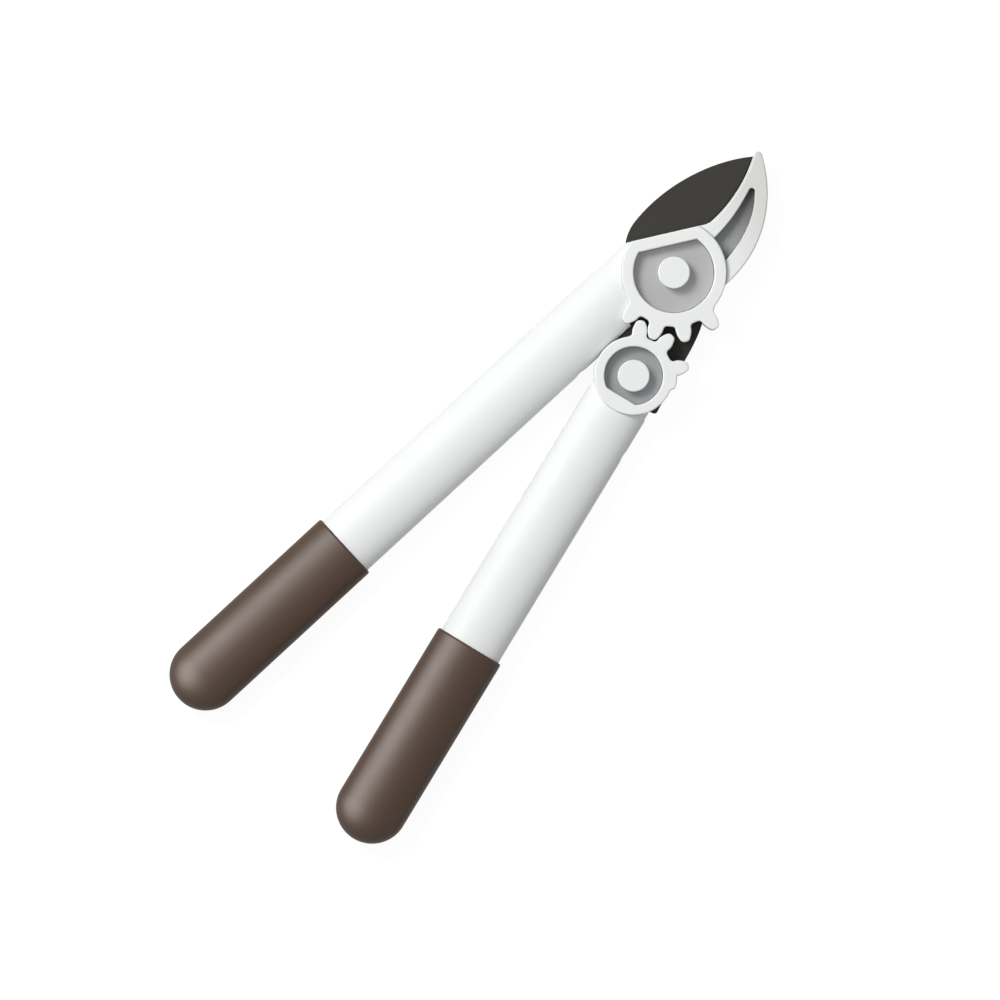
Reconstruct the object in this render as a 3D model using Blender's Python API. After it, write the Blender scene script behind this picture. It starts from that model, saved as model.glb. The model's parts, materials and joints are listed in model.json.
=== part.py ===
"""Geared anvil lopper, built from the separate pieces that it comes apart into.

All sizes are in metres and all angles in degrees, +Z up. The tool lies flat with its jaws closed.
The origin is on the main pivot's axis, on the surface that the tool lies on. +Y runs along the
anvil handle towards the jaws, and +X points to the side of the lever handle.

The anvil side carries two toothed discs that don't turn. The blade turns about the main pivot
between them, and its tang carries the lever side, whose own toothed discs roll round the fixed ones.
"""

import math
from dataclasses import dataclass, replace

import bmesh
import bpy
from mathutils import Vector
from mathutils.geometry import interpolate_bezier, tessellate_polygon

# Toothed discs: one module and one tooth form for the fixed and the lever discs
GEAR_MODULE = 0.005
FIXED_TEETH = 13
LEVER_TEETH = 10
FIXED_TEETH_CUT = 4
LEVER_TEETH_CUT = 3
PRESSURE_ANGLE = 22.0
ADDENDUM = 0.0040
TIP_CLEARANCE = 0.0004
BACKLASH = 0.0009
CLOSING_FLANK_LEAN = 0.0002
TIP_ROUND = 0.0024
ROOT_ROUND = 0.0019
FIRST_TOOTH_FROM_PIVOT_LINE = -24.5
STUB_HEIGHT = 0.0021
STUB_SWEEP = 17.0
STUB_SLOPE = 6.0
FIXED_ROOT_STEP = 0.0007
LEVER_ROOT_STEP = 0.0001
FIXED_RIM = 0.0064
LEVER_RIM = 0.0053
FIXED_FLAT = 0.0207
FIXED_FLAT_FACING = 150.3
LEVER_RECESS_FLAT = 0.0125
DISC_EDGE_ROUND = 0.0007

# Layers, from the middle of the blade outwards, the same on both faces
BLADE_THICKNESS = 0.0030
RUNNING_GAP = 0.00025
WASHER_THICKNESS = 0.0006
EAR_THICKNESS = 0.0024
DISC_THICKNESS = 0.0069
PAD_KEY_HEIGHT = 0.0010
CAP_PROUD = 0.0004
FIT = 0.0003

# Pivots. The jaw opening is how far the blade turns away from the anvil.
PIVOT_LINE_FACING = -64.0
HANDLE_SPLAY = 16.13
JAW_OPENING = 42.0
BOLT_DIAMETER = 0.008
BOLT_HEAD_FLATS = 0.011
BOLT_HEAD_HEIGHT = 0.0040
NUT_HEIGHT = 0.0036
BUSH_WALL = 0.0015
WASHER_DIAMETER = 0.019
CAP_DIAMETER = 0.0166
CAP_WALL = 0.0010
CAP_TOP = 0.0012
CAP_EDGE_ROUND = 0.0005

# Handle tubes and grips
TUBE_WIDTH = 0.0344
TUBE_THICKNESS = 0.0220
TUBE_WALL = 0.0016
ANVIL_TUBE_OFFSET = -0.01152
ANVIL_GRIP_FROM_PIVOT = 0.2222
LEVER_GRIP_FROM_PIVOT = 0.1641
GRIP_LENGTH = 0.1171
GRIP_WALL = 0.00135
GRIP_MOUTH_ROUND = 0.0012
GRIP_END_TURN = 86.0
SPIGOT_LENGTH = 0.036
SPIGOT_PIN_DIAMETER = 0.005
SPIGOT_PIN_INSET = 0.015

# Blade and tang. Jaw outlines are cubic curves: start, two handles, end, seen from +Z. The tang's
# outer edge is one too, its points along the line between the pivots and across it.
HUB_RADIUS = 0.014
TANG_END_RADIUS = 0.0185
TANG_OUTER_TOP = ((0.0420, 0.0218), (0.0320, 0.0234), (0.0225, 0.0243), (0.0164, 0.0230))
TANG_WIDTH_AT_END = 0.0182
TANG_REACH_PAST_PIVOT = 0.0144
TANG_CORNER_ROUND = 0.0016
NECK_ANGLE_ON_HUB = 85.0
SHOULDER_ANGLE_ON_HUB = -2.0
BLADE_BACK = ((-0.0165, 0.0714), (-0.0292, 0.0550), (-0.0374, 0.0276), (-0.03315, 0.00245))
BLADE_HEEL = ((-0.03315, 0.00245), (-0.0319, -0.0036), (-0.0292, -0.0069), (-0.0283, -0.0079))
BLADE_EDGE = ((-0.0065, 0.0318), (-0.0059, 0.0424), (-0.0087, 0.0582), (-0.0165, 0.0714))
BLADE_NECK = (-0.00938, 0.02575)
BLADE_INNER_CORNER = (-0.0072, 0.0296)
BEVEL_WIDTH = 0.0009
EDGE_THICKNESS = 0.0004
JAW_GAP = 0.0003
SLOT_SPARE_TURN = 2.0
SLOT_MOUTH_SLOPE = 8.0

# Anvil arm and its pockets
ARM_BACK = ((0.0229, 0.0160), (0.0235, 0.0429), (0.0086, 0.0641), (-0.0142, 0.07555))
ARM_TIP_ROUND = ((-0.0142, 0.07555), (-0.0166, 0.0763), (-0.0180, 0.0743), (-0.0164, 0.0723))
ARM_TIP = (-0.0163, 0.0744)
ARM_ROOT_SWEEP = 65.0
ARM_HALF_THICKNESS_AT_DISC = 0.0085
ARM_HALF_THICKNESS_AT_TIP = 0.0036
ARM_EDGE_ROUND = 0.0008
POCKET_INNER_SIDE = ((-0.0046, 0.0580), (-0.0011, 0.0483), (0.0019, 0.0381), (0.0016, 0.0240))
POCKET_OUTER_SIDE = ((0.0140, 0.0205), (0.0127, 0.0374), (0.0076, 0.0507), (-0.0022, 0.0593))
POCKET_WEB = 0.003

# How finely round shapes are cut into flats
ARC_STEP = 7.0
HANDLE_SIDES = 40
PIVOT_SIDES = 24
CAP_SIDES = 32
JAW_CURVE_POINTS = 12
TIP_CURVE_POINTS = 6
TANG_CURVE_POINTS = 6
POCKET_CURVE_POINTS = 8
FLANK_POINTS = 4
ROUND_STEPS = 3
EDGE_STEPS = 2
GRIP_END_RINGS = 6
FAR = 0.060

# Radii and places that follow from the sizes above
FIXED_PITCH_RADIUS = GEAR_MODULE * FIXED_TEETH / 2
LEVER_PITCH_RADIUS = GEAR_MODULE * LEVER_TEETH / 2
PIVOT_SPACING = FIXED_PITCH_RADIUS + LEVER_PITCH_RADIUS
DEDENDUM = ADDENDUM + TIP_CLEARANCE
FIXED_DISC_RADIUS = FIXED_PITCH_RADIUS - DEDENDUM - FIXED_ROOT_STEP
LEVER_DISC_RADIUS = LEVER_PITCH_RADIUS - DEDENDUM - LEVER_ROOT_STEP
FIXED_RECESS_RADIUS = FIXED_DISC_RADIUS - FIXED_RIM
LEVER_RECESS_RADIUS = LEVER_DISC_RADIUS - LEVER_RIM

BLADE_HALF = BLADE_THICKNESS / 2
WASHER_LOW = BLADE_HALF + RUNNING_GAP
WASHER_HIGH = WASHER_LOW + WASHER_THICKNESS
SLOT_HALF = WASHER_HIGH + RUNNING_GAP
EAR_TOP = SLOT_HALF + EAR_THICKNESS
DISC_LOW = EAR_TOP + FIT
DISC_HIGH = DISC_LOW + DISC_THICKNESS
PAD_TOP = DISC_LOW + PAD_KEY_HEIGHT
PIVOT_SEAT = PAD_TOP + FIT

BOLT_RADIUS = BOLT_DIAMETER / 2
BUSH_BORE_RADIUS = BOLT_RADIUS + FIT
BUSH_RADIUS = BUSH_BORE_RADIUS + BUSH_WALL
CAP_RADIUS = CAP_DIAMETER / 2

GRIP_HALF_WIDTH = TUBE_WIDTH / 2 + FIT + GRIP_WALL
GRIP_HALF_THICKNESS = TUBE_THICKNESS / 2 + FIT + GRIP_WALL
SPIGOT_HALF_WIDTH = TUBE_WIDTH / 2 - TUBE_WALL - FIT
SPIGOT_HALF_THICKNESS = TUBE_THICKNESS / 2 - TUBE_WALL - FIT
MIDDLE_HEIGHT = max(GRIP_HALF_THICKNESS, DISC_HIGH + CAP_PROUD)
TANG_SWEEP_RADIUS = math.hypot(TANG_WIDTH_AT_END, TANG_REACH_PAST_PIVOT) + FIT
HEEL_RADIUS = math.hypot(*BLADE_HEEL[-1])


@dataclass(frozen=True)
class Finish:
    """Colour and surface of one material of the tool."""

    name: str
    colour: tuple
    roughness: float
    metallic: float = 0.0


WHITE_ENAMEL = Finish("white_enamel", (0.83, 0.84, 0.84), 0.35)
BROWN_GRIP = Finish("brown_soft_grip", (0.085, 0.056, 0.040), 0.55)
DARK_COATING = Finish("dark_blade_coating", (0.055, 0.052, 0.046), 0.45, 0.3)
ZINC_STEEL = Finish("zinc_plated_steel", (0.60, 0.60, 0.58), 0.35, 1.0)
BRONZE = Finish("sintered_bronze", (0.55, 0.36, 0.18), 0.40, 1.0)
NYLON = Finish("white_nylon", (0.80, 0.80, 0.78), 0.50)


def polar(radius, facing):
    """Point at a radius and an angle from the local origin."""
    angle = math.radians(facing)
    return (radius * math.cos(angle), radius * math.sin(angle))


def arc(radius, first, last):
    """Points along a circle from the first angle to the last, both included."""
    count = max(2, math.ceil(abs(last - first) / ARC_STEP))
    return [polar(radius, first + (last - first) * i / count) for i in range(count + 1)]


def full_circle(radius):
    """Closed outline round the local origin."""
    return arc(radius, 0.0, 360.0)[1:]


def moved(points, shift):
    """Outline points moved by a plane vector."""
    return [(x + shift[0], y + shift[1]) for x, y in points]


def curve(corners, count):
    """Points on the cubic curve whose start, two handles and end are given."""
    knots = [Vector((x, y, 0.0)) for x, y in corners]
    return [(point.x, point.y) for point in interpolate_bezier(*knots, count)]


def grown(outline, distance, closed=True):
    """Outline moved outwards, the right-hand side of its run, by a distance or by one for each point."""
    count = len(outline)
    steps = distance if isinstance(distance, (list, tuple)) else [distance] * count
    result = []
    for i, (x, y) in enumerate(outline):
        before = outline[i - 1] if closed or i > 0 else None
        after = outline[(i + 1) % count] if closed or i < count - 1 else None
        normals = []
        for start, end in ((before, (x, y)), ((x, y), after)):
            if start is not None and end is not None:
                length = math.dist(start, end)
                normals.append(((end[1] - start[1]) / length, (start[0] - end[0]) / length))
        first, last = normals[0], normals[-1]
        share = steps[i] / max(0.4, 1.0 + first[0] * last[0] + first[1] * last[1])
        result.append((x + (first[0] + last[0]) * share, y + (first[1] + last[1]) * share))
    return result


def rounded_corner(before, corner, after, radius):
    """Points of the arc that rounds a corner between two straight runs."""
    at = Vector(corner)
    to_before = (Vector(before) - at).normalized()
    to_after = (Vector(after) - at).normalized()
    half = to_before.angle(to_after) / 2
    centre = at + (to_before + to_after).normalized() * (radius / math.sin(half))
    start = at + to_before * (radius / math.tan(half)) - centre
    end = at + to_after * (radius / math.tan(half)) - centre
    points = []
    for i in range(ROUND_STEPS + 1):
        spoke = start.lerp(end, i / ROUND_STEPS).normalized() * radius
        points.append(tuple(centre + spoke))
    return points


def flatted_circle(radius, flat, facing):
    """Circle with one flat at a distance from its centre, on the side that it faces."""
    half = math.degrees(math.acos(flat / radius))
    return arc(radius, facing + half, facing + 360.0 - half)


def closed_shape(bm):
    """The mesh with all its faces turned outwards."""
    bmesh.ops.recalc_face_normals(bm, faces=bm.faces)
    return bm


def slab(outline, levels, holes=()):
    """Closed plate through (height, growth) levels of one outline. A height may depend on the place.

    A plate without holes keeps each flat end as one face, which cuts and joins cleanly.
    """
    bm = bmesh.new()
    rims = []
    for height, growth in levels:
        loops = [grown(outline, growth)]
        loops += [grown(hole, -growth) for hole in holes]
        rims.append(
            [
                [bm.verts.new((x, y, height(x, y) if callable(height) else height)) for x, y in loop]
                for loop in loops
            ]
        )
    for lower, upper in zip(rims, rims[1:]):
        for low, high in zip(lower, upper):
            for i in range(len(low)):
                bm.faces.new((low[i - 1], low[i], high[i], high[i - 1]))
    for rim in (rims[0], rims[-1]):
        if holes:
            verts = [vert for loop in rim for vert in loop]
            flat = [[Vector((vert.co.x, vert.co.y, 0.0)) for vert in loop] for loop in rim]
            for corners in tessellate_polygon(flat):
                bm.faces.new([verts[i] for i in corners])
        else:
            bm.faces.new(rim[0])
    return closed_shape(bm)


def loft(loops, ring=False):
    """Closed skin through loops of points. The ends are filled, or joined to each other for a ring."""
    bm = bmesh.new()
    rims = [[bm.verts.new(point) for point in loop] for loop in loops]
    pairs = list(zip(rims, rims[1:]))
    if ring:
        pairs.append((rims[-1], rims[0]))
    else:
        bm.faces.new(rims[0])
        bm.faces.new(rims[-1])
    for low, high in pairs:
        for i in range(len(low)):
            bm.faces.new((low[i - 1], low[i], high[i], high[i - 1]))
    return closed_shape(bm)


def rounded_edge(radius):
    """(depth below the face, growth) steps that round an edge, from the side up to the face."""
    turns = [math.pi / 2 * i / EDGE_STEPS for i in range(EDGE_STEPS + 1)]
    return [(radius * (1 - math.sin(turn)), -radius * (1 - math.cos(turn))) for turn in turns]


def circle(radius, height, sides=PIVOT_SIDES):
    """Level loop of points round the local Z axis."""
    points = [polar(radius, 360.0 * i / sides) for i in range(sides)]
    return [(x, y, height) for x, y in points]


def hexagon(flats, height):
    """Level hexagon across its flats, with as many points as a pivot's circle."""
    points = []
    for i in range(PIVOT_SIDES):
        facing = 360.0 * i / PIVOT_SIDES
        from_flat = math.radians((facing % 60.0) - 30.0)
        x, y = polar(flats / 2 / math.cos(from_flat), facing)
        points.append((x, y, height))
    return points


def oval(half_width, half_thickness, along):
    """Upright oval loop across a handle, at a place along it."""
    points = []
    for i in range(HANDLE_SIDES):
        angle = 2 * math.pi * i / HANDLE_SIDES
        points.append((half_width * math.cos(angle), along, half_thickness * math.sin(angle)))
    return points


def involute(angle):
    """Involute function of an angle in radians."""
    return math.tan(angle) - angle


def tooth_half_angle(pitch_radius, radius):
    """Half of the angle that a tooth takes up at a radius, in radians."""
    pressure = math.radians(PRESSURE_ANGLE)
    base_radius = pitch_radius * math.cos(pressure)
    at_radius = math.acos(min(1.0, base_radius / radius))
    thickness = (math.pi * GEAR_MODULE - BACKLASH) / 2
    return thickness / (2 * pitch_radius) + involute(pressure) - involute(at_radius)


def tooth_flank(pitch_radius):
    """(radius, half angle in radians) along one flank, from the root's fillet to the rounded tip."""
    root = pitch_radius - DEDENDUM
    tip = pitch_radius + ADDENDUM
    base_radius = pitch_radius * math.cos(math.radians(PRESSURE_ANGLE))
    lean = math.acos(base_radius / (tip - TIP_ROUND / 2))
    round_start = tip - TIP_ROUND * (1 - math.sin(lean))
    base_half = tooth_half_angle(pitch_radius, base_radius)
    flank = []
    for i in range(ROUND_STEPS):
        turn = math.pi / 2 * i / ROUND_STEPS
        across = ROOT_ROUND * (1 - math.sin(turn)) / root
        flank.append((root + ROOT_ROUND * (1 - math.cos(turn)), base_half + across))
    start = max(base_radius, root + ROOT_ROUND)
    for i in range(FLANK_POINTS):
        radius = start + (round_start - start) * i / (FLANK_POINTS - 1)
        flank.append((radius, tooth_half_angle(pitch_radius, radius)))
    round_half = flank[-1][1]
    for i in range(1, ROUND_STEPS + 1):
        turn = lean + (math.pi / 2 - lean) * i / ROUND_STEPS
        across = TIP_ROUND * (math.cos(lean) - math.cos(turn)) / round_start
        flank.append((tip - TIP_ROUND * (1 - math.sin(turn)), round_half - across))
    return flank


@dataclass(frozen=True)
class ToothedDisc:
    """Disc with a few teeth on part of its rim, seen from +Z in its own body's frame."""

    pitch_radius: float
    disc_radius: float
    tooth_facings: tuple
    recess: tuple
    flat: float = 0.0
    flat_facing: float = 0.0
    stub_radius: float = 0.0

    def outline(self, with_flat=True):
        """Points of the rim and its teeth, anticlockwise."""
        flank = [(radius, math.degrees(half)) for radius, half in tooth_flank(self.pitch_radius)]
        root_half = flank[0][1]
        first = self.tooth_facings[0] - root_half
        rising = flank
        points = []
        if self.stub_radius:
            rising = [(radius, half) for radius, half in flank if radius > self.stub_radius]
            stub_end = self.tooth_facings[0] - rising[0][1]
            first = stub_end - STUB_SWEEP
            points += arc(self.stub_radius, first, stub_end)
        for facing in self.tooth_facings:
            points += [polar(radius, facing - half) for radius, half in rising]
            points += [polar(radius, facing + half) for radius, half in reversed(flank)]
            rising = flank
        rim_start = self.tooth_facings[-1] + root_half + ARC_STEP / 2
        rim_end = first + 360.0 - (STUB_SLOPE if self.stub_radius else ARC_STEP / 2)
        if self.flat and with_flat:
            half = math.degrees(math.acos(self.flat / self.disc_radius))
            points += arc(self.disc_radius, rim_start, self.flat_facing - half)
            points += arc(self.disc_radius, self.flat_facing + half, rim_end)
        else:
            points += arc(self.disc_radius, rim_start, rim_end)
        return points


def fixed_disc():
    """The anvil side's disc. Its flat lies along the blade."""
    pitch = 360.0 / FIXED_TEETH
    first = PIVOT_LINE_FACING + FIRST_TOOTH_FROM_PIVOT_LINE
    return ToothedDisc(
        pitch_radius=FIXED_PITCH_RADIUS,
        disc_radius=FIXED_DISC_RADIUS,
        tooth_facings=tuple(first + pitch * i for i in range(FIXED_TEETH_CUT)),
        recess=(FIXED_RECESS_RADIUS, FIXED_FLAT - FIXED_RIM, FIXED_FLAT_FACING),
        flat=FIXED_FLAT,
        flat_facing=FIXED_FLAT_FACING,
    )


def lever_disc():
    """The lever side's disc, in mesh with the fixed one, in the lever's own frame."""
    pitches_past_line = FIRST_TOOTH_FROM_PIVOT_LINE * FIXED_TEETH / 360.0 + 0.5
    pitches_past_line += CLOSING_FLANK_LEAN / (math.pi * GEAR_MODULE)
    pitch = 360.0 / LEVER_TEETH
    last = PIVOT_LINE_FACING + 180.0 - HANDLE_SPLAY - pitches_past_line * pitch
    return ToothedDisc(
        pitch_radius=LEVER_PITCH_RADIUS,
        disc_radius=LEVER_DISC_RADIUS,
        tooth_facings=tuple(last - pitch * i for i in reversed(range(LEVER_TEETH_CUT))),
        recess=(LEVER_RECESS_RADIUS, LEVER_RECESS_FLAT, -90.0),
        stub_radius=LEVER_DISC_RADIUS + STUB_HEIGHT,
    )


def tang_frame():
    """Unit vectors along the line from the main pivot to the lever pivot, and across it."""
    return Vector(polar(1.0, PIVOT_LINE_FACING)), Vector(polar(1.0, PIVOT_LINE_FACING + 90.0))


def tang_left_edge():
    """The two ends of the tang's inner edge, tangent to the hub and to the tang's round end."""
    along, across = tang_frame()
    lean = math.asin((TANG_END_RADIUS - HUB_RADIUS) / PIVOT_SPACING)
    outwards = -across * math.cos(lean) - along * math.sin(lean)
    return tuple(outwards * HUB_RADIUS), tuple(along * PIVOT_SPACING + outwards * TANG_END_RADIUS)


def cutting_edge():
    """Points of the blade's cutting edge, from its neck and inner corner to the tip."""
    return [BLADE_NECK, BLADE_INNER_CORNER] + curve(BLADE_EDGE, JAW_CURVE_POINTS)


def blade_outline():
    """Cutting part and tang in one, anticlockwise, and how far each point lies inside the bevel."""
    along, across = tang_frame()
    past_pivot = along * (PIVOT_SPACING + TANG_REACH_PAST_PIVOT)
    corner = past_pivot + across * TANG_WIDTH_AT_END
    outer_top = [tuple(along * x + across * y) for x, y in curve(TANG_OUTER_TOP, TANG_CURVE_POINTS)]
    end_half = math.degrees(math.acos(TANG_REACH_PAST_PIVOT / TANG_END_RADIUS))
    inner_top, inner_end = tang_left_edge()
    lean = math.degrees(math.asin((TANG_END_RADIUS - HUB_RADIUS) / PIVOT_SPACING))
    end_arc = arc(TANG_END_RADIUS, PIVOT_LINE_FACING - 90.0 - lean, PIVOT_LINE_FACING - end_half)
    end_arc = moved(end_arc, along * PIVOT_SPACING)
    shoulder = polar(HUB_RADIUS, SHOULDER_ANGLE_ON_HUB)

    points = [inner_top, *end_arc]
    points += rounded_corner(past_pivot, corner, outer_top[0], TANG_CORNER_ROUND)
    points += outer_top[:-1]
    points += rounded_corner(outer_top[-2], outer_top[-1], shoulder, TANG_CORNER_ROUND)
    points += arc(HUB_RADIUS, SHOULDER_ANGLE_ON_HUB, NECK_ANGLE_ON_HUB)
    ground_from = len(points) + 2
    points += cutting_edge()
    ground_to = len(points) - 1
    points += curve(BLADE_BACK, JAW_CURVE_POINTS)[1:]
    points += curve(BLADE_HEEL, TIP_CURVE_POINTS)[1:]
    ground = [-BEVEL_WIDTH if ground_from <= i < ground_to else 0.0 for i in range(len(points))]
    return points, ground


def blade_slot_outline():
    """Room that the blade and tang sweep through in the middle of the anvil side."""
    gap = 2 * FIT
    inner_top, inner_end = (Vector(point) for point in tang_left_edge())
    slope = (inner_end - inner_top).normalized()
    shifted = inner_top + Vector((slope.y, -slope.x)) * gap
    floor_y = -(HEEL_RADIUS + gap)
    edge_x = ANVIL_TUBE_OFFSET + TUBE_WIDTH / 2 + gap
    turn_in = shifted + slope * ((floor_y - shifted.y) / slope.y)
    turn_out = shifted + slope * ((edge_x - shifted.x) / slope.x)
    hub = HUB_RADIUS + gap
    neck = grown([polar(HUB_RADIUS, NECK_ANGLE_ON_HUB), BLADE_NECK], gap, closed=False)[1]
    open_angle = JAW_OPENING + SHOULDER_ANGLE_ON_HUB + SLOT_SPARE_TURN
    points = [(-FAR, floor_y), tuple(turn_in), tuple(turn_out), (FAR, turn_out.y)]
    points += [polar(FAR, open_angle - SLOT_MOUTH_SLOPE), polar(hub, open_angle)]
    points += arc(hub, open_angle, NECK_ANGLE_ON_HUB - SLOT_SPARE_TURN)[1:]
    points += [neck, (-FAR, neck[1] + gap)]
    return points


def past_flat_outline():
    """Everything on the blade's side of the fixed discs' flat."""
    middle = Vector(polar(FIXED_FLAT, FIXED_FLAT_FACING))
    outwards = Vector(polar(FAR, FIXED_FLAT_FACING))
    along = Vector(polar(FAR, FIXED_FLAT_FACING + 90.0))
    corners = (middle - along, middle - along + outwards, middle + along + outwards, middle + along)
    return [tuple(corner) for corner in corners]


def arm_outline():
    """The anvil arm, from its root under the disc round its tip and back along the anvil face."""
    face = grown(cutting_edge(), JAW_GAP, closed=False)
    hidden = FIXED_RECESS_RADIUS - FIXED_RIM
    back_facing = math.degrees(math.atan2(ARM_BACK[0][1], ARM_BACK[0][0]))
    points = [polar(hidden, back_facing)]
    points += curve(ARM_BACK, JAW_CURVE_POINTS)
    points += curve(ARM_TIP_ROUND, TIP_CURVE_POINTS)[1:]
    points += reversed(face)
    points += [polar(hidden, back_facing + ARM_ROOT_SWEEP)]
    return points


def arm_height(x, y):
    """Half thickness of the anvil arm at a place, thinner towards the tip."""
    tip = Vector(ARM_TIP)
    share = (Vector((x, y)).dot(tip.normalized()) - FIXED_DISC_RADIUS) / (tip.length - FIXED_DISC_RADIUS)
    return ARM_HALF_THICKNESS_AT_DISC + (ARM_HALF_THICKNESS_AT_TIP - ARM_HALF_THICKNESS_AT_DISC) * share


def level_below_arm_face(side, depth):
    """Level of the anvil arm at a depth below its front (1) or rear (-1) face, for a slab."""
    return lambda x, y: side * (arm_height(x, y) - depth)


def outside_circle(points, radius):
    """The stretch of a run of points that lies outside a circle round the origin, up to the circle."""
    kept = []
    for start, end in zip(points, points[1:]):
        near, far = math.hypot(*start), math.hypot(*end)
        if near > radius:
            kept.append(start)
        if (near > radius) != (far > radius):
            crossing = Vector(start).lerp(Vector(end), (radius - near) / (far - near))
            kept.append(tuple(crossing))
    if far > radius:
        kept.append(points[-1])
    return kept


def half_round(start, end):
    """Points between two others on the half circle that joins them anticlockwise."""
    middle = (Vector(start) + Vector(end)) / 2
    spoke = Vector(start) - middle
    facing = math.degrees(math.atan2(spoke.y, spoke.x))
    count = 2 * ROUND_STEPS
    points = [polar(spoke.length, facing + 180.0 * i / count) for i in range(1, count)]
    return moved(points, middle)


def pocket_outline(lower_radius):
    """Pocket in the anvil arm, round at its top and ended below by an arc round the main pivot."""
    outer = outside_circle(curve(POCKET_OUTER_SIDE, POCKET_CURVE_POINTS), lower_radius)
    inner = outside_circle(curve(POCKET_INNER_SIDE, POCKET_CURVE_POINTS), lower_radius)
    first = math.degrees(math.atan2(inner[-1][1], inner[-1][0]))
    last = math.degrees(math.atan2(outer[0][1], outer[0][0]))
    return outer + half_round(outer[-1], inner[0]) + inner + arc(lower_radius, first, last)[1:-1]


def make_material(finish):
    """Principled material of a finish, made once."""
    material = bpy.data.materials.get(finish.name)
    if material is None:
        material = bpy.data.materials.new(finish.name)
        material.use_nodes = True
        shader = material.node_tree.nodes["Principled BSDF"]
        shader.inputs["Base Color"].default_value = (*finish.colour, 1.0)
        shader.inputs["Roughness"].default_value = finish.roughness
        shader.inputs["Metallic"].default_value = finish.metallic
        material.diffuse_color = (*finish.colour, 1.0)
    return material


def add_object(name, bm, parent):
    """Object with a finished mesh, placed by its parent."""
    mesh = bpy.data.meshes.new(name)
    bm.to_mesh(mesh)
    bm.free()
    mesh.shade_smooth()
    mesh.set_sharp_from_angle(angle=math.radians(35.0))
    obj = bpy.data.objects.new(name, mesh)
    bpy.context.scene.collection.objects.link(obj)
    obj.parent = parent
    return obj


def add_helper(name, bm, parent):
    """Shape that only joins or cuts others."""
    helper = add_object(name, bm, parent)
    helper.hide_render = True
    helper.display_type = "WIRE"
    return helper


def add_piece(name, bm, finish, parent, steps=()):
    """One piece of the tool, with the joins and cuts that finish its shape."""
    piece = add_object(name, bm, parent)
    piece.data.materials.append(make_material(finish))
    for operation, helper in steps:
        modifier = piece.modifiers.new(f"{operation.lower()}_{helper.name}", "BOOLEAN")
        modifier.operation = operation
        modifier.object = helper
    return piece


def add_body(name, place, turn=0.0):
    """Empty that carries a body's pieces, on the axis that the body turns about."""
    empty = bpy.data.objects.new(name, None)
    empty.location = place
    empty.rotation_euler = (0.0, 0.0, math.radians(turn))
    bpy.context.scene.collection.objects.link(empty)
    return empty


def both_faces(outline, low, high):
    """Two plates, one on each face of the tool, as one cutter."""
    bm = slab(outline, [(low, 0.0), (high, 0.0)])
    copy = slab(outline, [(-high, 0.0), (-low, 0.0)])
    mesh = bpy.data.meshes.new("far_face")
    copy.to_mesh(mesh)
    copy.free()
    bm.from_mesh(mesh)
    bpy.data.meshes.remove(mesh)
    return bm


def rod(radius, low, high):
    """Round bar along the local Z axis."""
    return loft([circle(radius, low), circle(radius, high)])


def cross_rod(radius, half_length, centre_x, along):
    """Round bar across a handle."""
    loops = []
    for side in (-half_length, half_length):
        loops.append([(centre_x + side, along + x, y) for x, y, _ in circle(radius, 0.0)])
    return loft(loops)


def handle_tube(top, bottom, centre_x):
    """Hollow oval tube from its head end down to its end inside the grip."""
    half_width = TUBE_WIDTH / 2
    half_thickness = TUBE_THICKNESS / 2
    outer = [oval(half_width, half_thickness, along) for along in (top, bottom)]
    inner = [oval(half_width - TUBE_WALL, half_thickness - TUBE_WALL, along) for along in (bottom, top)]
    loops = [[(x + centre_x, y, z) for x, y, z in loop] for loop in outer + inner]
    return loft(loops, ring=True)


def spigot(top, bottom, centre_x):
    """Solid oval plug that fills a tube's head end."""
    loops = [oval(SPIGOT_HALF_WIDTH, SPIGOT_HALF_THICKNESS, along) for along in (top, bottom)]
    return loft([[(x + centre_x, y, z) for x, y, z in loop] for loop in loops])


def tube_end_in_grip(mouth):
    """Place of a tube's lower end, where the grip's round end begins."""
    return mouth - (GRIP_LENGTH - GRIP_HALF_WIDTH)


def grip(mouth, centre_x):
    """Soft sleeve with a square mouth and a round closed end."""
    floor = tube_end_in_grip(mouth) - FIT
    bore = (TUBE_WIDTH / 2 + FIT, TUBE_THICKNESS / 2 + FIT)
    loops = [oval(*bore, floor), oval(*bore, mouth)]
    for depth, growth in reversed(rounded_edge(GRIP_MOUTH_ROUND)):
        loops.append(oval(GRIP_HALF_WIDTH + growth, GRIP_HALF_THICKNESS + growth, mouth - depth))
    round_from = mouth - GRIP_LENGTH + GRIP_HALF_WIDTH
    for i in range(GRIP_END_RINGS + 1):
        turn = math.radians(GRIP_END_TURN) * i / GRIP_END_RINGS
        width = GRIP_HALF_WIDTH * math.cos(turn)
        thickness = GRIP_HALF_THICKNESS * math.cos(turn)
        loops.append(oval(width, thickness, round_from - GRIP_HALF_WIDTH * math.sin(turn)))
    return loft([[(x + centre_x, y, z) for x, y, z in loop] for loop in loops])


def disc_plate(disc, side):
    """Toothed disc with its D-shaped opening, its edges rounded on the face that shows."""
    rounding = rounded_edge(DISC_EDGE_ROUND)
    levels = [(side * DISC_LOW, 0.0)]
    levels += [(side * (DISC_HIGH - depth), growth) for depth, growth in rounding]
    return slab(disc.outline(), levels, holes=[flatted_circle(*disc.recess)])


def pads(disc):
    """D-shaped pads on both ears, which key the discs."""
    radius, flat, facing = disc.recess
    outline = flatted_circle(radius - FIT, flat - FIT, facing)
    return both_faces(outline, (SLOT_HALF + EAR_TOP) / 2, PAD_TOP)


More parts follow.
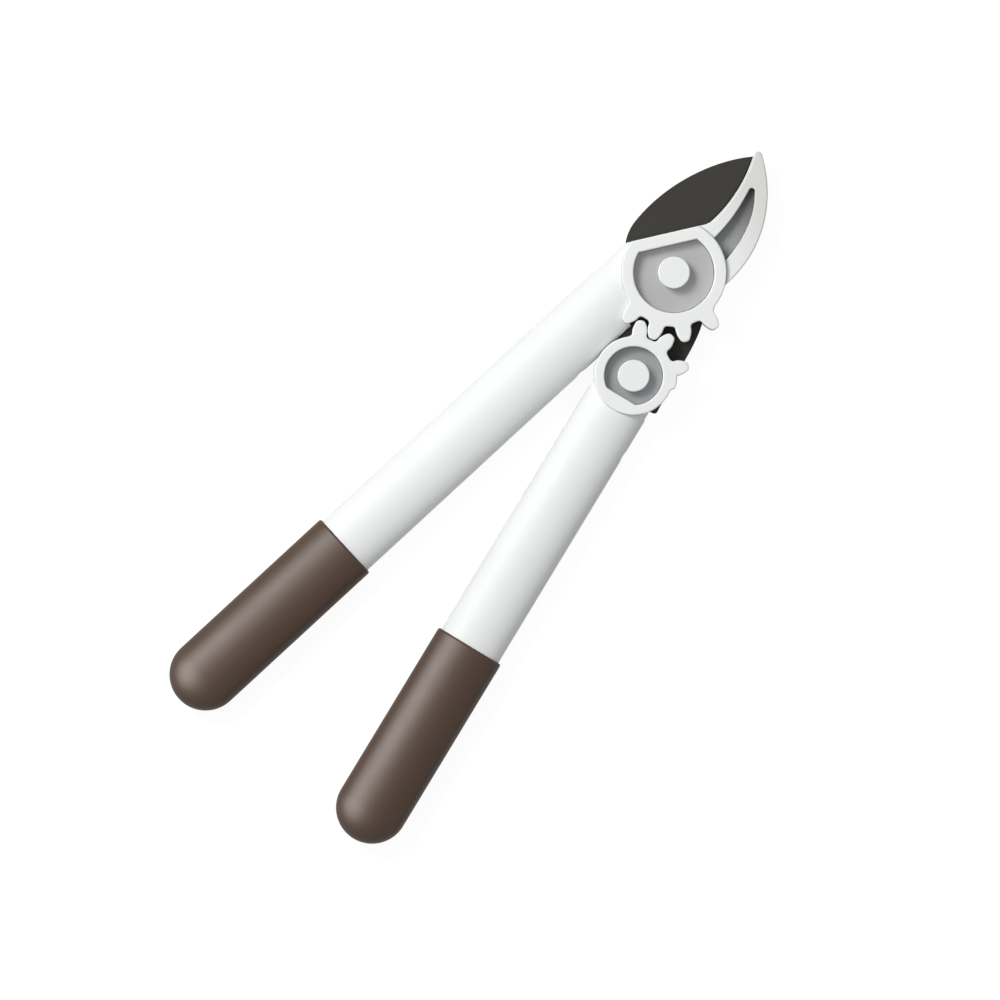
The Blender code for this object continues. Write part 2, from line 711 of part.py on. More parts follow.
def add_pivot(prefix, cap_names, body):
    """Bolt, nut, two caps and two washers of one pivot, round the body's axis."""
    head_top = PIVOT_SEAT + BOLT_HEAD_HEIGHT
    nut_end = PIVOT_SEAT + NUT_HEIGHT
    bolt_loops = [
        circle(BOLT_RADIUS, -nut_end - FIT),
        circle(BOLT_RADIUS, PIVOT_SEAT),
        hexagon(BOLT_HEAD_FLATS, PIVOT_SEAT),
        hexagon(BOLT_HEAD_FLATS, head_top),
    ]
    add_piece(f"{prefix}_bolt", loft(bolt_loops), ZINC_STEEL, body)
    nut_loops = [
        hexagon(BOLT_HEAD_FLATS, -PIVOT_SEAT),
        hexagon(BOLT_HEAD_FLATS, -nut_end),
        circle(BOLT_RADIUS + FIT, -nut_end),
        circle(BOLT_RADIUS + FIT, -PIVOT_SEAT),
    ]
    add_piece(f"{prefix}_nut", loft(nut_loops, ring=True), ZINC_STEEL, body)
    for side, face in ((1, "front"), (-1, "rear")):
        washer_loops = [
            circle(WASHER_DIAMETER / 2, side * WASHER_LOW),
            circle(WASHER_DIAMETER / 2, side * WASHER_HIGH),
            circle(BUSH_BORE_RADIUS, side * WASHER_HIGH),
            circle(BUSH_BORE_RADIUS, side * WASHER_LOW),
        ]
        add_piece(f"{face}_{prefix}_washer", loft(washer_loops, ring=True), NYLON, body)
        inner = CAP_RADIUS - CAP_WALL
        cap_loops = [
            circle(inner, side * (MIDDLE_HEIGHT - CAP_TOP), CAP_SIDES),
            circle(inner, side * PIVOT_SEAT, CAP_SIDES),
            circle(CAP_RADIUS, side * PIVOT_SEAT, CAP_SIDES),
        ]
        for depth, growth in rounded_edge(CAP_EDGE_ROUND):
            cap_loops.append(circle(CAP_RADIUS + growth, side * (MIDDLE_HEIGHT - depth), CAP_SIDES))
        add_piece(cap_names[face], loft(cap_loops), WHITE_ENAMEL, body)


def add_bush(name, place, blade_body):
    """Sleeve between a pivot bolt and the blade."""
    loops = [
        circle(BUSH_RADIUS, -BLADE_HALF),
        circle(BUSH_RADIUS, BLADE_HALF),
        circle(BUSH_BORE_RADIUS, BLADE_HALF),
        circle(BUSH_BORE_RADIUS, -BLADE_HALF),
    ]
    loops = [[(x + place[0], y + place[1], z) for x, y, z in loop] for loop in loops]
    add_piece(name, loft(loops, ring=True), BRONZE, blade_body)


def add_anvil_side(body):
    """Anvil handle, its head with the anvil arm, and the two fixed discs."""
    disc = fixed_disc()
    slot_floor = blade_slot_outline()[2][1]
    spigot_end = slot_floor - SPIGOT_LENGTH
    pin_along = slot_floor - SPIGOT_PIN_INSET
    one_tooth = replace(disc, tooth_facings=disc.tooth_facings[:1])
    disc_room = grown(one_tooth.outline(with_flat=False), FIT)
    tooth_side = math.cos(math.radians(disc.tooth_facings[0])) * disc.pitch_radius
    tooth_reach = disc.pitch_radius + ADDENDUM / 2 + FIT

    slot = slab(blade_slot_outline(), [(-SLOT_HALF, 0.0), (SLOT_HALF, 0.0)])
    cut_slot = add_helper("cut_blade_slot", slot, body)
    cut_discs = add_helper("cut_fixed_disc_seats", both_faces(disc_room, EAR_TOP, FAR), body)
    cope = slab(disc_room, [(-FAR, 0.0), (FAR, 0.0)])
    cut_cope = add_helper("cut_anvil_tube_cope", cope, body)
    beside_tooth = [(tooth_side, -tooth_reach), (FAR, -tooth_reach), (FAR, 0.0), (tooth_side, 0.0)]
    cut_beside = slab(beside_tooth, [(-FAR, 0.0), (FAR, 0.0)])
    cut_beside = add_helper("cut_beside_first_tooth", cut_beside, body)
    cut_flat = slab(past_flat_outline(), [(-FAR, 0.0), (FAR, 0.0)])
    cut_flat = add_helper("cut_past_flat", cut_flat, body)
    cut_bolt = add_helper("cut_main_bolt_hole", rod(BOLT_RADIUS + FIT, -FAR, FAR), body)
    pin_hole = cross_rod(SPIGOT_PIN_DIAMETER / 2 + FIT, FAR, ANVIL_TUBE_OFFSET, pin_along)
    cut_pin = add_helper("cut_anvil_pin_hole", pin_hole, body)
    pockets = both_faces(pocket_outline(FIXED_DISC_RADIUS), POCKET_WEB / 2, FAR)
    cut_pockets = add_helper("cut_arm_pockets", pockets, body)

    ear = flatted_circle(FIXED_DISC_RADIUS - 2 * FIT, FIXED_FLAT - FIT, FIXED_FLAT_FACING)
    join_ear = add_helper("join_ears", slab(ear, [(-EAR_TOP - FIT, 0.0), (EAR_TOP + FIT, 0.0)]), body)
    plug = spigot(-HUB_RADIUS, spigot_end, ANVIL_TUBE_OFFSET)
    join_spigot = add_helper("join_anvil_spigot", plug, body)
    join_pads = add_helper("join_fixed_disc_pads", pads(disc), body)

    rounding = rounded_edge(ARM_EDGE_ROUND)
    arm_levels = [(level_below_arm_face(-1, depth), growth) for depth, growth in reversed(rounding)]
    arm_levels += [(level_below_arm_face(1, depth), growth) for depth, growth in rounding]
    steps = [
        ("UNION", join_ear),
        ("UNION", join_spigot),
        ("DIFFERENCE", cut_discs),
        ("DIFFERENCE", cut_pockets),
        ("DIFFERENCE", cut_slot),
        ("UNION", join_pads),
        ("DIFFERENCE", cut_bolt),
        ("DIFFERENCE", cut_pin),
    ]
    add_piece("anvil_head", slab(arm_outline(), arm_levels), WHITE_ENAMEL, body, steps)

    tube = handle_tube(0.0, tube_end_in_grip(-ANVIL_GRIP_FROM_PIVOT), ANVIL_TUBE_OFFSET)
    steps = [("DIFFERENCE", cutter) for cutter in (cut_cope, cut_beside, cut_flat, cut_slot, cut_pin)]
    add_piece("anvil_handle_tube", tube, WHITE_ENAMEL, body, steps)
    add_piece("anvil_grip", grip(-ANVIL_GRIP_FROM_PIVOT, ANVIL_TUBE_OFFSET), BROWN_GRIP, body)
    pin = cross_rod(SPIGOT_PIN_DIAMETER / 2, TUBE_WIDTH / 2 - FIT, ANVIL_TUBE_OFFSET, pin_along)
    add_piece("anvil_head_pin", pin, ZINC_STEEL, body)
    for side, face in ((1, "front"), (-1, "rear")):
        add_piece(f"{face}_fixed_gear", disc_plate(disc, side), WHITE_ENAMEL, body)
    add_pivot("main_pivot", {"front": "front_pivot_cap", "rear": "rear_pivot_cap"}, body)


def add_blade(body):
    """Blade with its tang, and the bushes in its two pivot holes."""
    points, ground = blade_outline()
    levels = [
        (-BLADE_HALF, ground),
        (-EDGE_THICKNESS / 2, 0.0),
        (EDGE_THICKNESS / 2, 0.0),
        (BLADE_HALF, ground),
    ]
    lever_pivot = polar(PIVOT_SPACING, PIVOT_LINE_FACING)
    cut_main = add_helper("cut_blade_main_hole", rod(BUSH_RADIUS + FIT, -FAR, FAR), body)
    cut_tang = add_helper("cut_blade_tang_hole", rod(BUSH_RADIUS + FIT, -FAR, FAR), body)
    cut_tang.location = (*lever_pivot, 0.0)
    steps = [("DIFFERENCE", cut_main), ("DIFFERENCE", cut_tang)]
    add_piece("blade", slab(points, levels), DARK_COATING, body, steps)
    add_bush("blade_bush", (0.0, 0.0), body)
    add_bush("tang_bush", lever_pivot, body)


def add_lever_side(body):
    """Lever handle, its fork-shaped head and the two discs that roll on the fixed ones."""
    disc = lever_disc()
    slot_radius = TANG_SWEEP_RADIUS + FIT
    spigot_end = -slot_radius - SPIGOT_LENGTH
    pin_along = -slot_radius - SPIGOT_PIN_INSET
    disc_room = full_circle(disc.disc_radius + FIT)

    slot = slab(full_circle(slot_radius), [(-SLOT_HALF, 0.0), (SLOT_HALF, 0.0)])
    cut_slot = add_helper("cut_tang_slot", slot, body)
    cut_discs = add_helper("cut_lever_disc_seats", both_faces(disc_room, EAR_TOP, FAR), body)
    cut_cope = add_helper("cut_lever_tube_cope", slab(disc_room, [(-FAR, 0.0), (FAR, 0.0)]), body)
    cut_bolt = add_helper("cut_lever_bolt_hole", rod(BOLT_RADIUS + FIT, -FAR, FAR), body)
    pin_hole = cross_rod(SPIGOT_PIN_DIAMETER / 2 + FIT, FAR, 0.0, pin_along)
    cut_pin = add_helper("cut_lever_pin_hole", pin_hole, body)
    join_spigot = add_helper("join_lever_spigot", spigot(-LEVER_RECESS_FLAT, spigot_end, 0.0), body)
    join_pads = add_helper("join_lever_disc_pads", pads(disc), body)

    ear_radius = LEVER_DISC_RADIUS - LEVER_RIM / 4
    ear = slab(full_circle(ear_radius), [(-EAR_TOP - FIT, 0.0), (EAR_TOP + FIT, 0.0)])
    steps = [
        ("UNION", join_spigot),
        ("DIFFERENCE", cut_discs),
        ("DIFFERENCE", cut_slot),
        ("UNION", join_pads),
        ("DIFFERENCE", cut_bolt),
        ("DIFFERENCE", cut_pin),
    ]
    add_piece("lever_head", ear, WHITE_ENAMEL, body, steps)

    tube = handle_tube(-LEVER_RECESS_FLAT / 2, tube_end_in_grip(-LEVER_GRIP_FROM_PIVOT), 0.0)
    steps = [("DIFFERENCE", cutter) for cutter in (cut_cope, cut_slot, cut_pin)]
    add_piece("lever_handle_tube", tube, WHITE_ENAMEL, body, steps)
    add_piece("lever_grip", grip(-LEVER_GRIP_FROM_PIVOT, 0.0), BROWN_GRIP, body)
    pin = cross_rod(SPIGOT_PIN_DIAMETER / 2, TUBE_WIDTH / 2 - FIT, 0.0, pin_along)
    add_piece("lever_head_pin", pin, ZINC_STEEL, body)
    for side, face in ((1, "front"), (-1, "rear")):
        add_piece(f"{face}_lever_gear", disc_plate(disc, side), WHITE_ENAMEL, body)
    add_pivot("lever_pivot", {"front": "front_lever_cap", "rear": "rear_lever_cap"}, body)


def main():
    """Clears the scene and builds the three bodies of the lopper."""
    for obj in list(bpy.data.objects):
        bpy.data.objects.remove(obj)
    main_pivot = (0.0, 0.0, MIDDLE_HEIGHT)
    lever_pivot = (*polar(PIVOT_SPACING, PIVOT_LINE_FACING), MIDDLE_HEIGHT)
    add_anvil_side(add_body("anvil_side_on_main_pivot", main_pivot))
    add_blade(add_body("blade_on_main_pivot", main_pivot))
    add_lever_side(add_body("lever_side_on_lever_pivot", lever_pivot, HANDLE_SPLAY))


if __name__ == "__main__":
    main()
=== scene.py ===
"""Looks of a compact geared anvil lopper: its castings, handles, blade and finishes.

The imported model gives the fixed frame: its bodies, its nodes and where they are. This script builds
each piece that shows again with finer curves and softened edges, dresses the hidden hardware, and
sets up a plain studio. All sizes are in metres and all angles in degrees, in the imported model's
frame: +Z out of the photographed face, +Y along the anvil handle towards the jaws.
"""

from __future__ import annotations

import json
import logging
import math
from abc import ABC, abstractmethod
from collections.abc import Callable, Iterable, Sequence
from dataclasses import dataclass, replace
from enum import Enum
from functools import reduce

import bmesh
import bpy
from mathutils import Matrix, Vector
from mathutils.geometry import interpolate_bezier, tessellate_polygon

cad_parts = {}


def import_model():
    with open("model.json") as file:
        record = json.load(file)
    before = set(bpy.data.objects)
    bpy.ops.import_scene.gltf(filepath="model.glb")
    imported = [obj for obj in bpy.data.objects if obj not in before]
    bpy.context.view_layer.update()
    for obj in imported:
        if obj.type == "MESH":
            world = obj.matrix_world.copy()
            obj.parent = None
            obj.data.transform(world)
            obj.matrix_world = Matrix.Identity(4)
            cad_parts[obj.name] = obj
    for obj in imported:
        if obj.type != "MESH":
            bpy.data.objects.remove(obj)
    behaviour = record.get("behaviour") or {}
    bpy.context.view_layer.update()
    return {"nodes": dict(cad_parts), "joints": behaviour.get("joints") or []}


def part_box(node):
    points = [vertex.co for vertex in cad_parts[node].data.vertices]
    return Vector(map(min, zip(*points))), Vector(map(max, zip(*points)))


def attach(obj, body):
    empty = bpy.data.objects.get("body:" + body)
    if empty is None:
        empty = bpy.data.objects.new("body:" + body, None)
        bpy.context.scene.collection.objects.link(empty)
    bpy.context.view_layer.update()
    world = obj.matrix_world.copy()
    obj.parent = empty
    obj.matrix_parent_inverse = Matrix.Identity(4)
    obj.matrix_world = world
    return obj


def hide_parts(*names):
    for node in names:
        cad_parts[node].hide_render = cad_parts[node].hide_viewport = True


LOG = logging.getLogger("lopper")
MILLIMETRE = 0.001

FIT = 0.3 * MILLIMETRE
RUNNING_GAP = 0.25 * MILLIMETRE
CLOSE_FIT = 0.1 * MILLIMETRE
FAR = 60.0 * MILLIMETRE
ARC_STEP = 3.0
LOOP_SIDES = 96
MITRE_LIMIT = 0.4
SHARP_ANGLE = 35.0
FLAT_FACE_WEIGHT = 100
CLOSED_HANDLES_ANGLE = 16.13
WHITE = (1.0, 1.0, 1.0, 1.0)

Point = tuple[float, float]
Place = tuple[float, float, float]
Outline = list[Point]
Cubic = tuple[Point, Point, Point, Point]
Height = float | Callable[[float, float], float]
Level = tuple[Height, float | list[float]]
Tree = bpy.types.NodeTree
Socket = bpy.types.NodeSocket


class Face(Enum):
    """Face of the tool that one of a pair of pieces lies on."""

    FRONT = 1
    REAR = -1


class Operation(Enum):
    """How one solid is worked with another."""

    JOIN = "UNION"
    CUT = "DIFFERENCE"


class Slot(Enum):
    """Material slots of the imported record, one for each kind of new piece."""

    TUBE = "white_coated_tube"
    CASTING = "white_enamelled_casting"
    CAP = "white_cap_plastic"
    GRIP = "brown_soft_grip"
    BLADE = "dark_coated_blade_steel"


# Plane outlines


def polar(radius: float, facing: float) -> Point:
    """Point at a radius and an angle from the local origin."""
    angle = math.radians(facing)
    return (radius * math.cos(angle), radius * math.sin(angle))


def facing_of(point: Sequence[float]) -> float:
    """Angle at which a point is seen from the local origin."""
    return math.degrees(math.atan2(point[1], point[0]))


def arc(radius: float, first: float, last: float) -> Outline:
    """Points along a circle from the first angle to the last, both included."""
    count = max(2, math.ceil(abs(last - first) / ARC_STEP))
    return [polar(radius, first + (last - first) * i / count) for i in range(count + 1)]


def full_circle(radius: float) -> Outline:
    """Closed outline round the local origin."""
    return arc(radius, 0.0, 360.0)[1:]


def flatted_circle(radius: float, flat: float, facing: float) -> Outline:
    """Circle with one flat at a distance from its centre, on the side that it faces."""
    half = math.degrees(math.acos(flat / radius))
    return arc(radius, facing + half, facing + 360.0 - half)


def cubic(corners: Cubic, count: int) -> Outline:
    """Points on the cubic curve whose start, two handles and end are given."""
    knots = [Vector((x, y, 0.0)) for x, y in corners]
    return [(point.x, point.y) for point in interpolate_bezier(*knots, count)]


def moved(points: Iterable[Point], shift: Sequence[float]) -> Outline:
    """Outline points moved by a plane vector."""
    return [(x + shift[0], y + shift[1]) for x, y in points]


def grown(outline: Outline, distance: float | list[float], closed: bool = True) -> Outline:
    """Moves an outline outwards, to the right-hand side of its run.

    Args:
        outline: Points, anticlockwise where the outline is closed.
        distance: How far, for all the points or for each.
        closed: Whether the last point joins the first.

    Returns:
        The moved points, as many as before.
    """
    count = len(outline)
    steps = distance if isinstance(distance, list) else [distance] * count
    result = []
    for i, (x, y) in enumerate(outline):
        before = outline[i - 1] if closed or i > 0 else None
        after = outline[(i + 1) % count] if closed or i < count - 1 else None
        normals = []
        for start, end in ((before, (x, y)), ((x, y), after)):
            if start is not None and end is not None:
                length = math.dist(start, end)
                normals.append(((end[1] - start[1]) / length, (start[0] - end[0]) / length))
        first, last = normals[0], normals[-1]
        share = steps[i] / max(MITRE_LIMIT, 1.0 + first[0] * last[0] + first[1] * last[1])
        result.append((x + (first[0] + last[0]) * share, y + (first[1] + last[1]) * share))
    return result


def rounded_corner(before: Point, corner: Point, after: Point, radius: float, steps: int = 6) -> Outline:
    """Arc that rounds a corner between two straight runs.

    Args:
        before: A point on the run that comes to the corner.
        corner: The corner.
        after: A point on the run that leaves it.
        radius: Radius of the arc.
        steps: How many flats the arc is cut into.

    Returns:
        The points of the arc.
    """
    at = Vector(corner)
    to_before = (Vector(before) - at).normalized()
    to_after = (Vector(after) - at).normalized()
    half = to_before.angle(to_after) / 2
    centre = at + (to_before + to_after).normalized() * (radius / math.sin(half))
    start = at + to_before * (radius / math.tan(half)) - centre
    end = at + to_after * (radius / math.tan(half)) - centre
    points = []
    for i in range(steps + 1):
        spoke = start.lerp(end, i / steps).normalized() * radius
        points.append(tuple(centre + spoke))
    return points


def half_round(start: Point, end: Point, steps: int = 16) -> Outline:
    """Half circle that joins two points anticlockwise.

    Args:
        start: Where it starts.
        end: Where it ends.
        steps: How many flats it is cut into.

    Returns:
        The points between the two.
    """
    middle = (Vector(start) + Vector(end)) / 2
    spoke = Vector(start) - middle
    facing = facing_of(spoke)
    points = [polar(spoke.length, facing + 180.0 * i / steps) for i in range(1, steps)]
    return moved(points, middle)


def outside_circle(points: Outline, radius: float) -> Outline:
    """The stretch of a run of points that lies outside a circle, up to the circle.

    Args:
        points: The run.
        radius: Radius of the circle round the local origin.

    Returns:
        The stretch, with the point where it crosses the circle.
    """
    kept = []
    for start, end in zip(points, points[1:]):
        near, far = math.hypot(*start), math.hypot(*end)
        if near > radius:
            kept.append(start)
        if (near > radius) != (far > radius):
            crossing = Vector(start).lerp(Vector(end), (radius - near) / (far - near))
            kept.append(tuple(crossing))
    if math.hypot(*points[-1]) > radius:
        kept.append(points[-1])
    return kept


def holds(outline: Outline, x: float, y: float) -> bool:
    """Whether a point lies inside a closed outline.

    Args:
        outline: The outline.
        x: The point's place along X.
        y: Its place along Y.

    Returns:
        True for a point inside.
    """
    inside = False
    for (ax, ay), (bx, by) in zip(outline, outline[1:] + outline[:1]):
        if (ay > y) != (by > y) and x < ax + (bx - ax) * (y - ay) / (by - ay):
            inside = not inside
    return inside


def oval_point(centre_x: float, half_sizes: Point, along: float, angle: float) -> Place:
    """Point at an angle, in radians, on an upright oval across a handle."""
    return (centre_x + half_sizes[0] * math.cos(angle), along, half_sizes[1] * math.sin(angle))


def level_circle(radius: float, height: float, sides: int = LOOP_SIDES) -> list[Place]:
    """Level loop of points round the local Z axis."""
    return [(*polar(radius, 360.0 * i / sides), height) for i in range(sides)]


def rounded_edge(radius: float, steps: int = 5) -> list[tuple[float, float]]:
    """(depth below the face, growth) steps that round an edge, from the side up to the face."""
    turns = [math.pi / 2 * i / steps for i in range(steps + 1)]
    return [(radius * (1 - math.sin(turn)), -radius * (1 - math.cos(turn))) for turn in turns]


# Solids


@dataclass
class Solid:
    """Closed mesh in its own body's frame, which others can be joined to or cut from."""

    mesh: bpy.types.Mesh

    @classmethod
    def from_bmesh(cls, bm: bmesh.types.BMesh) -> Solid:
        """Solid of a finished bmesh, with all its faces turned outwards.

        Args:
            bm: The bmesh, which is freed.

        Returns:
            The solid.
        """
        bm.normal_update()
        bmesh.ops.recalc_face_normals(bm, faces=bm.faces)
        mesh = bpy.data.meshes.new("solid")
        bm.to_mesh(mesh)
        bm.free()
        return cls(mesh)

    @classmethod
    def plate(cls, outline: Outline, levels: Sequence[Level], holes: Sequence[Outline] = ()) -> Solid:
        """Closed plate through levels of one outline.

        Args:
            outline: The plate's edge, anticlockwise.
            levels: (height, growth) of each level. A height may depend on the place.
            holes: Outlines of holes right through.

        Returns:
            The plate.
        """
        bm = bmesh.new()
        rims = []
        for height, growth in levels:
            loops = [grown(outline, growth)]
            loops += [grown(hole, -growth) for hole in holes]
            rim = []
            for loop in loops:
                heights = [height(x, y) if callable(height) else height for x, y in loop]
                rim.append([bm.verts.new((x, y, z)) for (x, y), z in zip(loop, heights)])
            rims.append(rim)
        for lower, upper in zip(rims, rims[1:]):
            for low, high in zip(lower, upper):
                for i in range(len(low)):
                    bm.faces.new((low[i - 1], low[i], high[i], high[i - 1]))
        for rim in (rims[0], rims[-1]):
            if holes:
                verts = [vert for loop in rim for vert in loop]
                flat = [[Vector((vert.co.x, vert.co.y, 0.0)) for vert in loop] for loop in rim]
                for corners in tessellate_polygon(flat):
                    bm.faces.new([verts[i] for i in corners])
            else:
                bm.faces.new(rim[0])
        return cls.from_bmesh(bm)

    @classmethod
    def centred(cls, outline: Outline, half: float) -> Solid:
        """Even plate about the middle of the blade, of a given half thickness."""
        return cls.plate(outline, [(-half, 0.0), (half, 0.0)])

    @classmethod
    def on_both_faces(cls, outline: Outline, low: float, high: float) -> Solid:
        """Two equal plates, one on each face of the tool."""
        front = cls.plate(outline, [(low, 0.0), (high, 0.0)])
        return front.mirrored_copy_added()

    @classmethod
    def skin(cls, loops: Sequence[Sequence[Place]], ring: bool = False) -> Solid:
        """Closed skin through loops of points.

        Args:
            loops: Loops with equal numbers of points.
            ring: Whether the last loop joins the first. Otherwise both ends are filled.

        Returns:
            The solid.
        """
        bm = bmesh.new()
        rims = [[bm.verts.new(point) for point in loop] for loop in loops]
        pairs = list(zip(rims, rims[1:]))
        if ring:
            pairs.append((rims[-1], rims[0]))
        else:
            bm.faces.new(rims[0])
            bm.faces.new(rims[-1])
        for low, high in pairs:
            for i in range(len(low)):
                bm.faces.new((low[i - 1], low[i], high[i], high[i - 1]))
        return cls.from_bmesh(bm)

    @classmethod
    def rod(cls, radius: float, sides: int = LOOP_SIDES // 2) -> Solid:
        """Long round bar along the local Z axis."""
        return cls.skin([level_circle(radius, height, sides) for height in (-FAR, FAR)])

    @classmethod
    def cross_rod(cls, radius: float, centre_x: float, along: float, sides: int = LOOP_SIDES // 3) -> Solid:
        """Long round bar right across a handle.

        Args:
            radius: Its radius.
            centre_x: Place of the handle's middle.
            along: Its own place along the handle.
            sides: How many flats it has.

        Returns:
            The bar.
        """
        loop = level_circle(radius, 0.0, sides)
        ends = (centre_x - FAR, centre_x + FAR)
        return cls.skin([[(end, along + x, y) for x, y, _ in loop] for end in ends])

    def mirrored_copy_added(self) -> Solid:
        """Adds the same form on the other face of the tool.

        Returns:
            Both forms in one solid.
        """
        bm = bmesh.new()
        bm.from_mesh(self.mesh)
        bm.from_mesh(self.mesh)
        bm.verts.ensure_lookup_table()
        for vert in bm.verts[len(bm.verts) // 2 :]:
            vert.co.z = -vert.co.z
        return Solid.from_bmesh(bm)

    def worked(self, operation: Operation, tool: Solid) -> Solid:
        """Joins another solid to this one, or cuts it away.

        Args:
            operation: Which of the two.
            tool: The other solid.

        Returns:
            The result. This solid and the tool stay as they are.
        """
        target = in_scene("target", self.mesh)
        cutter = in_scene("cutter", tool.mesh)
        boolean = target.modifiers.new("work", "BOOLEAN")
        boolean.operation = operation.value
        boolean.object = cutter
        depsgraph = bpy.context.evaluated_depsgraph_get()
        mesh = bpy.data.meshes.new_from_object(target.evaluated_get(depsgraph))
        bpy.data.objects.remove(target)
        bpy.data.objects.remove(cutter)
        return Solid(mesh)

    def joined(self, *others: Solid) -> Solid:
        """This solid with others joined to it."""
        return reduce(lambda solid, other: solid.worked(Operation.JOIN, other), others, self)

    def cut(self, *tools: Solid) -> Solid:
        """This solid with others cut away."""
        return reduce(lambda solid, tool: solid.worked(Operation.CUT, tool), tools, self)

    def painted(self, index: int, chosen: Callable[[Vector], bool]) -> Solid:
        """Gives one of the piece's materials to some of its faces.

        Args:
            index: Index of the material.
            chosen: Whether a face is among them, by its centre.

        Returns:
            This solid.
        """
        for polygon in self.mesh.polygons:
            if chosen(polygon.center):
                polygon.material_index = index
        return self


def in_scene(name: str, data: bpy.types.ID) -> bpy.types.Object:
    """Adds an object to the scene.

    Args:
        name: Its name.
        data: Its mesh, light or camera.

    Returns:
        The new object.
    """
    item = bpy.data.objects.new(name, data)
    bpy.context.scene.collection.objects.link(item)
    return item


@dataclass(frozen=True)
class BodyPlace:
    """A body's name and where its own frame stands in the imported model's frame."""

    body: str
    origin: Vector
    turn: float = 0.0

    def matrix(self) -> Matrix:
        """From the body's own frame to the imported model's."""
        return Matrix.Translation(self.origin) @ Matrix.Rotation(math.radians(self.turn), 4, "Z")

    def add(
        self, name: str, solid: Solid, finishes: Sequence[Finish], slot: Slot, stands_for: Sequence[str]
    ) -> bpy.types.Object:
        """Makes a solid a piece of the tool.

        Args:
            name: The piece's name.
            solid: Its shape, in the body's own frame.
            finishes: Its finishes, in the order of its material indices.
            slot: The record's material slot for the piece; not used.
            stands_for: CAD nodes that it replaces.

        Returns:
            The new object.
        """
        mesh = solid.mesh
        mesh.name = name
        mesh.transform(self.matrix())
        indices = [polygon.material_index for polygon in mesh.polygons]
        mesh.materials.clear()
        for finish in finishes:
            mesh.materials.append(finish.material())
        mesh.polygons.foreach_set("material_index", indices)
        mesh.shade_smooth()
        mesh.set_sharp_from_angle(angle=math.radians(SHARP_ANGLE))
        piece = in_scene(name, mesh)
        weighted = piece.modifiers.new("flat_faces_stay_flat", "WEIGHTED_NORMAL")
        weighted.keep_sharp = True
        weighted.weight = FLAT_FACE_WEIGHT
        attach(piece, self.body)
        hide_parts(*stands_for)
        LOG.info("%s: %d faces on %s", name, len(mesh.polygons), self.body)
        return piece


# Finishes


def linear_colour(code: str) -> tuple[float, float, float, float]:
    """Linear RGBA of an sRGB hex code, by the sRGB standard's own curve.

    Args:
        code: The code, with its hash sign.

    Returns:
        The colour, opaque.
    """
    shares = [int(code[i : i + 2], 16) / 255 for i in (1, 3, 5)]
    linear = [share / 12.92 if share <= 0.04045 else ((share + 0.055) / 1.055) ** 2.4 for share in shares]
    return (*linear, 1.0)


def add_node(
    tree: Tree, kind: str, settings: dict | None = None, links: dict | None = None
) -> bpy.types.Node:
    """Adds one node with its settings and links.

    Args:
        tree: The node tree.
        kind: The node's type, without the words in front that all shader nodes share.
        settings: Values by input name or index, or by property name, which is in small letters.
        links: Output sockets by the name or index of the input that each goes to.

    Returns:
        The node.
    """
    node = tree.nodes.new("ShaderNode" + kind)
    for key, value in (settings or {}).items():
        if isinstance(key, int) or key[0].isupper():
            node.inputs[key].default_value = value
        else:
            setattr(node, key, value)
    for key, socket in (links or {}).items():
        tree.links.new(socket, node.inputs[key])
    return node


# Sockets of Blender's Mix node when it mixes colours
FIRST_COLOUR, SECOND_COLOUR, MIXED_COLOUR = 6, 7, 2

# How many finer and finer layers of noise make each pattern
GRAIN_DETAIL, CLOUD_DETAIL, SHEEN_DETAIL = 2.0, 3.0, 4.0


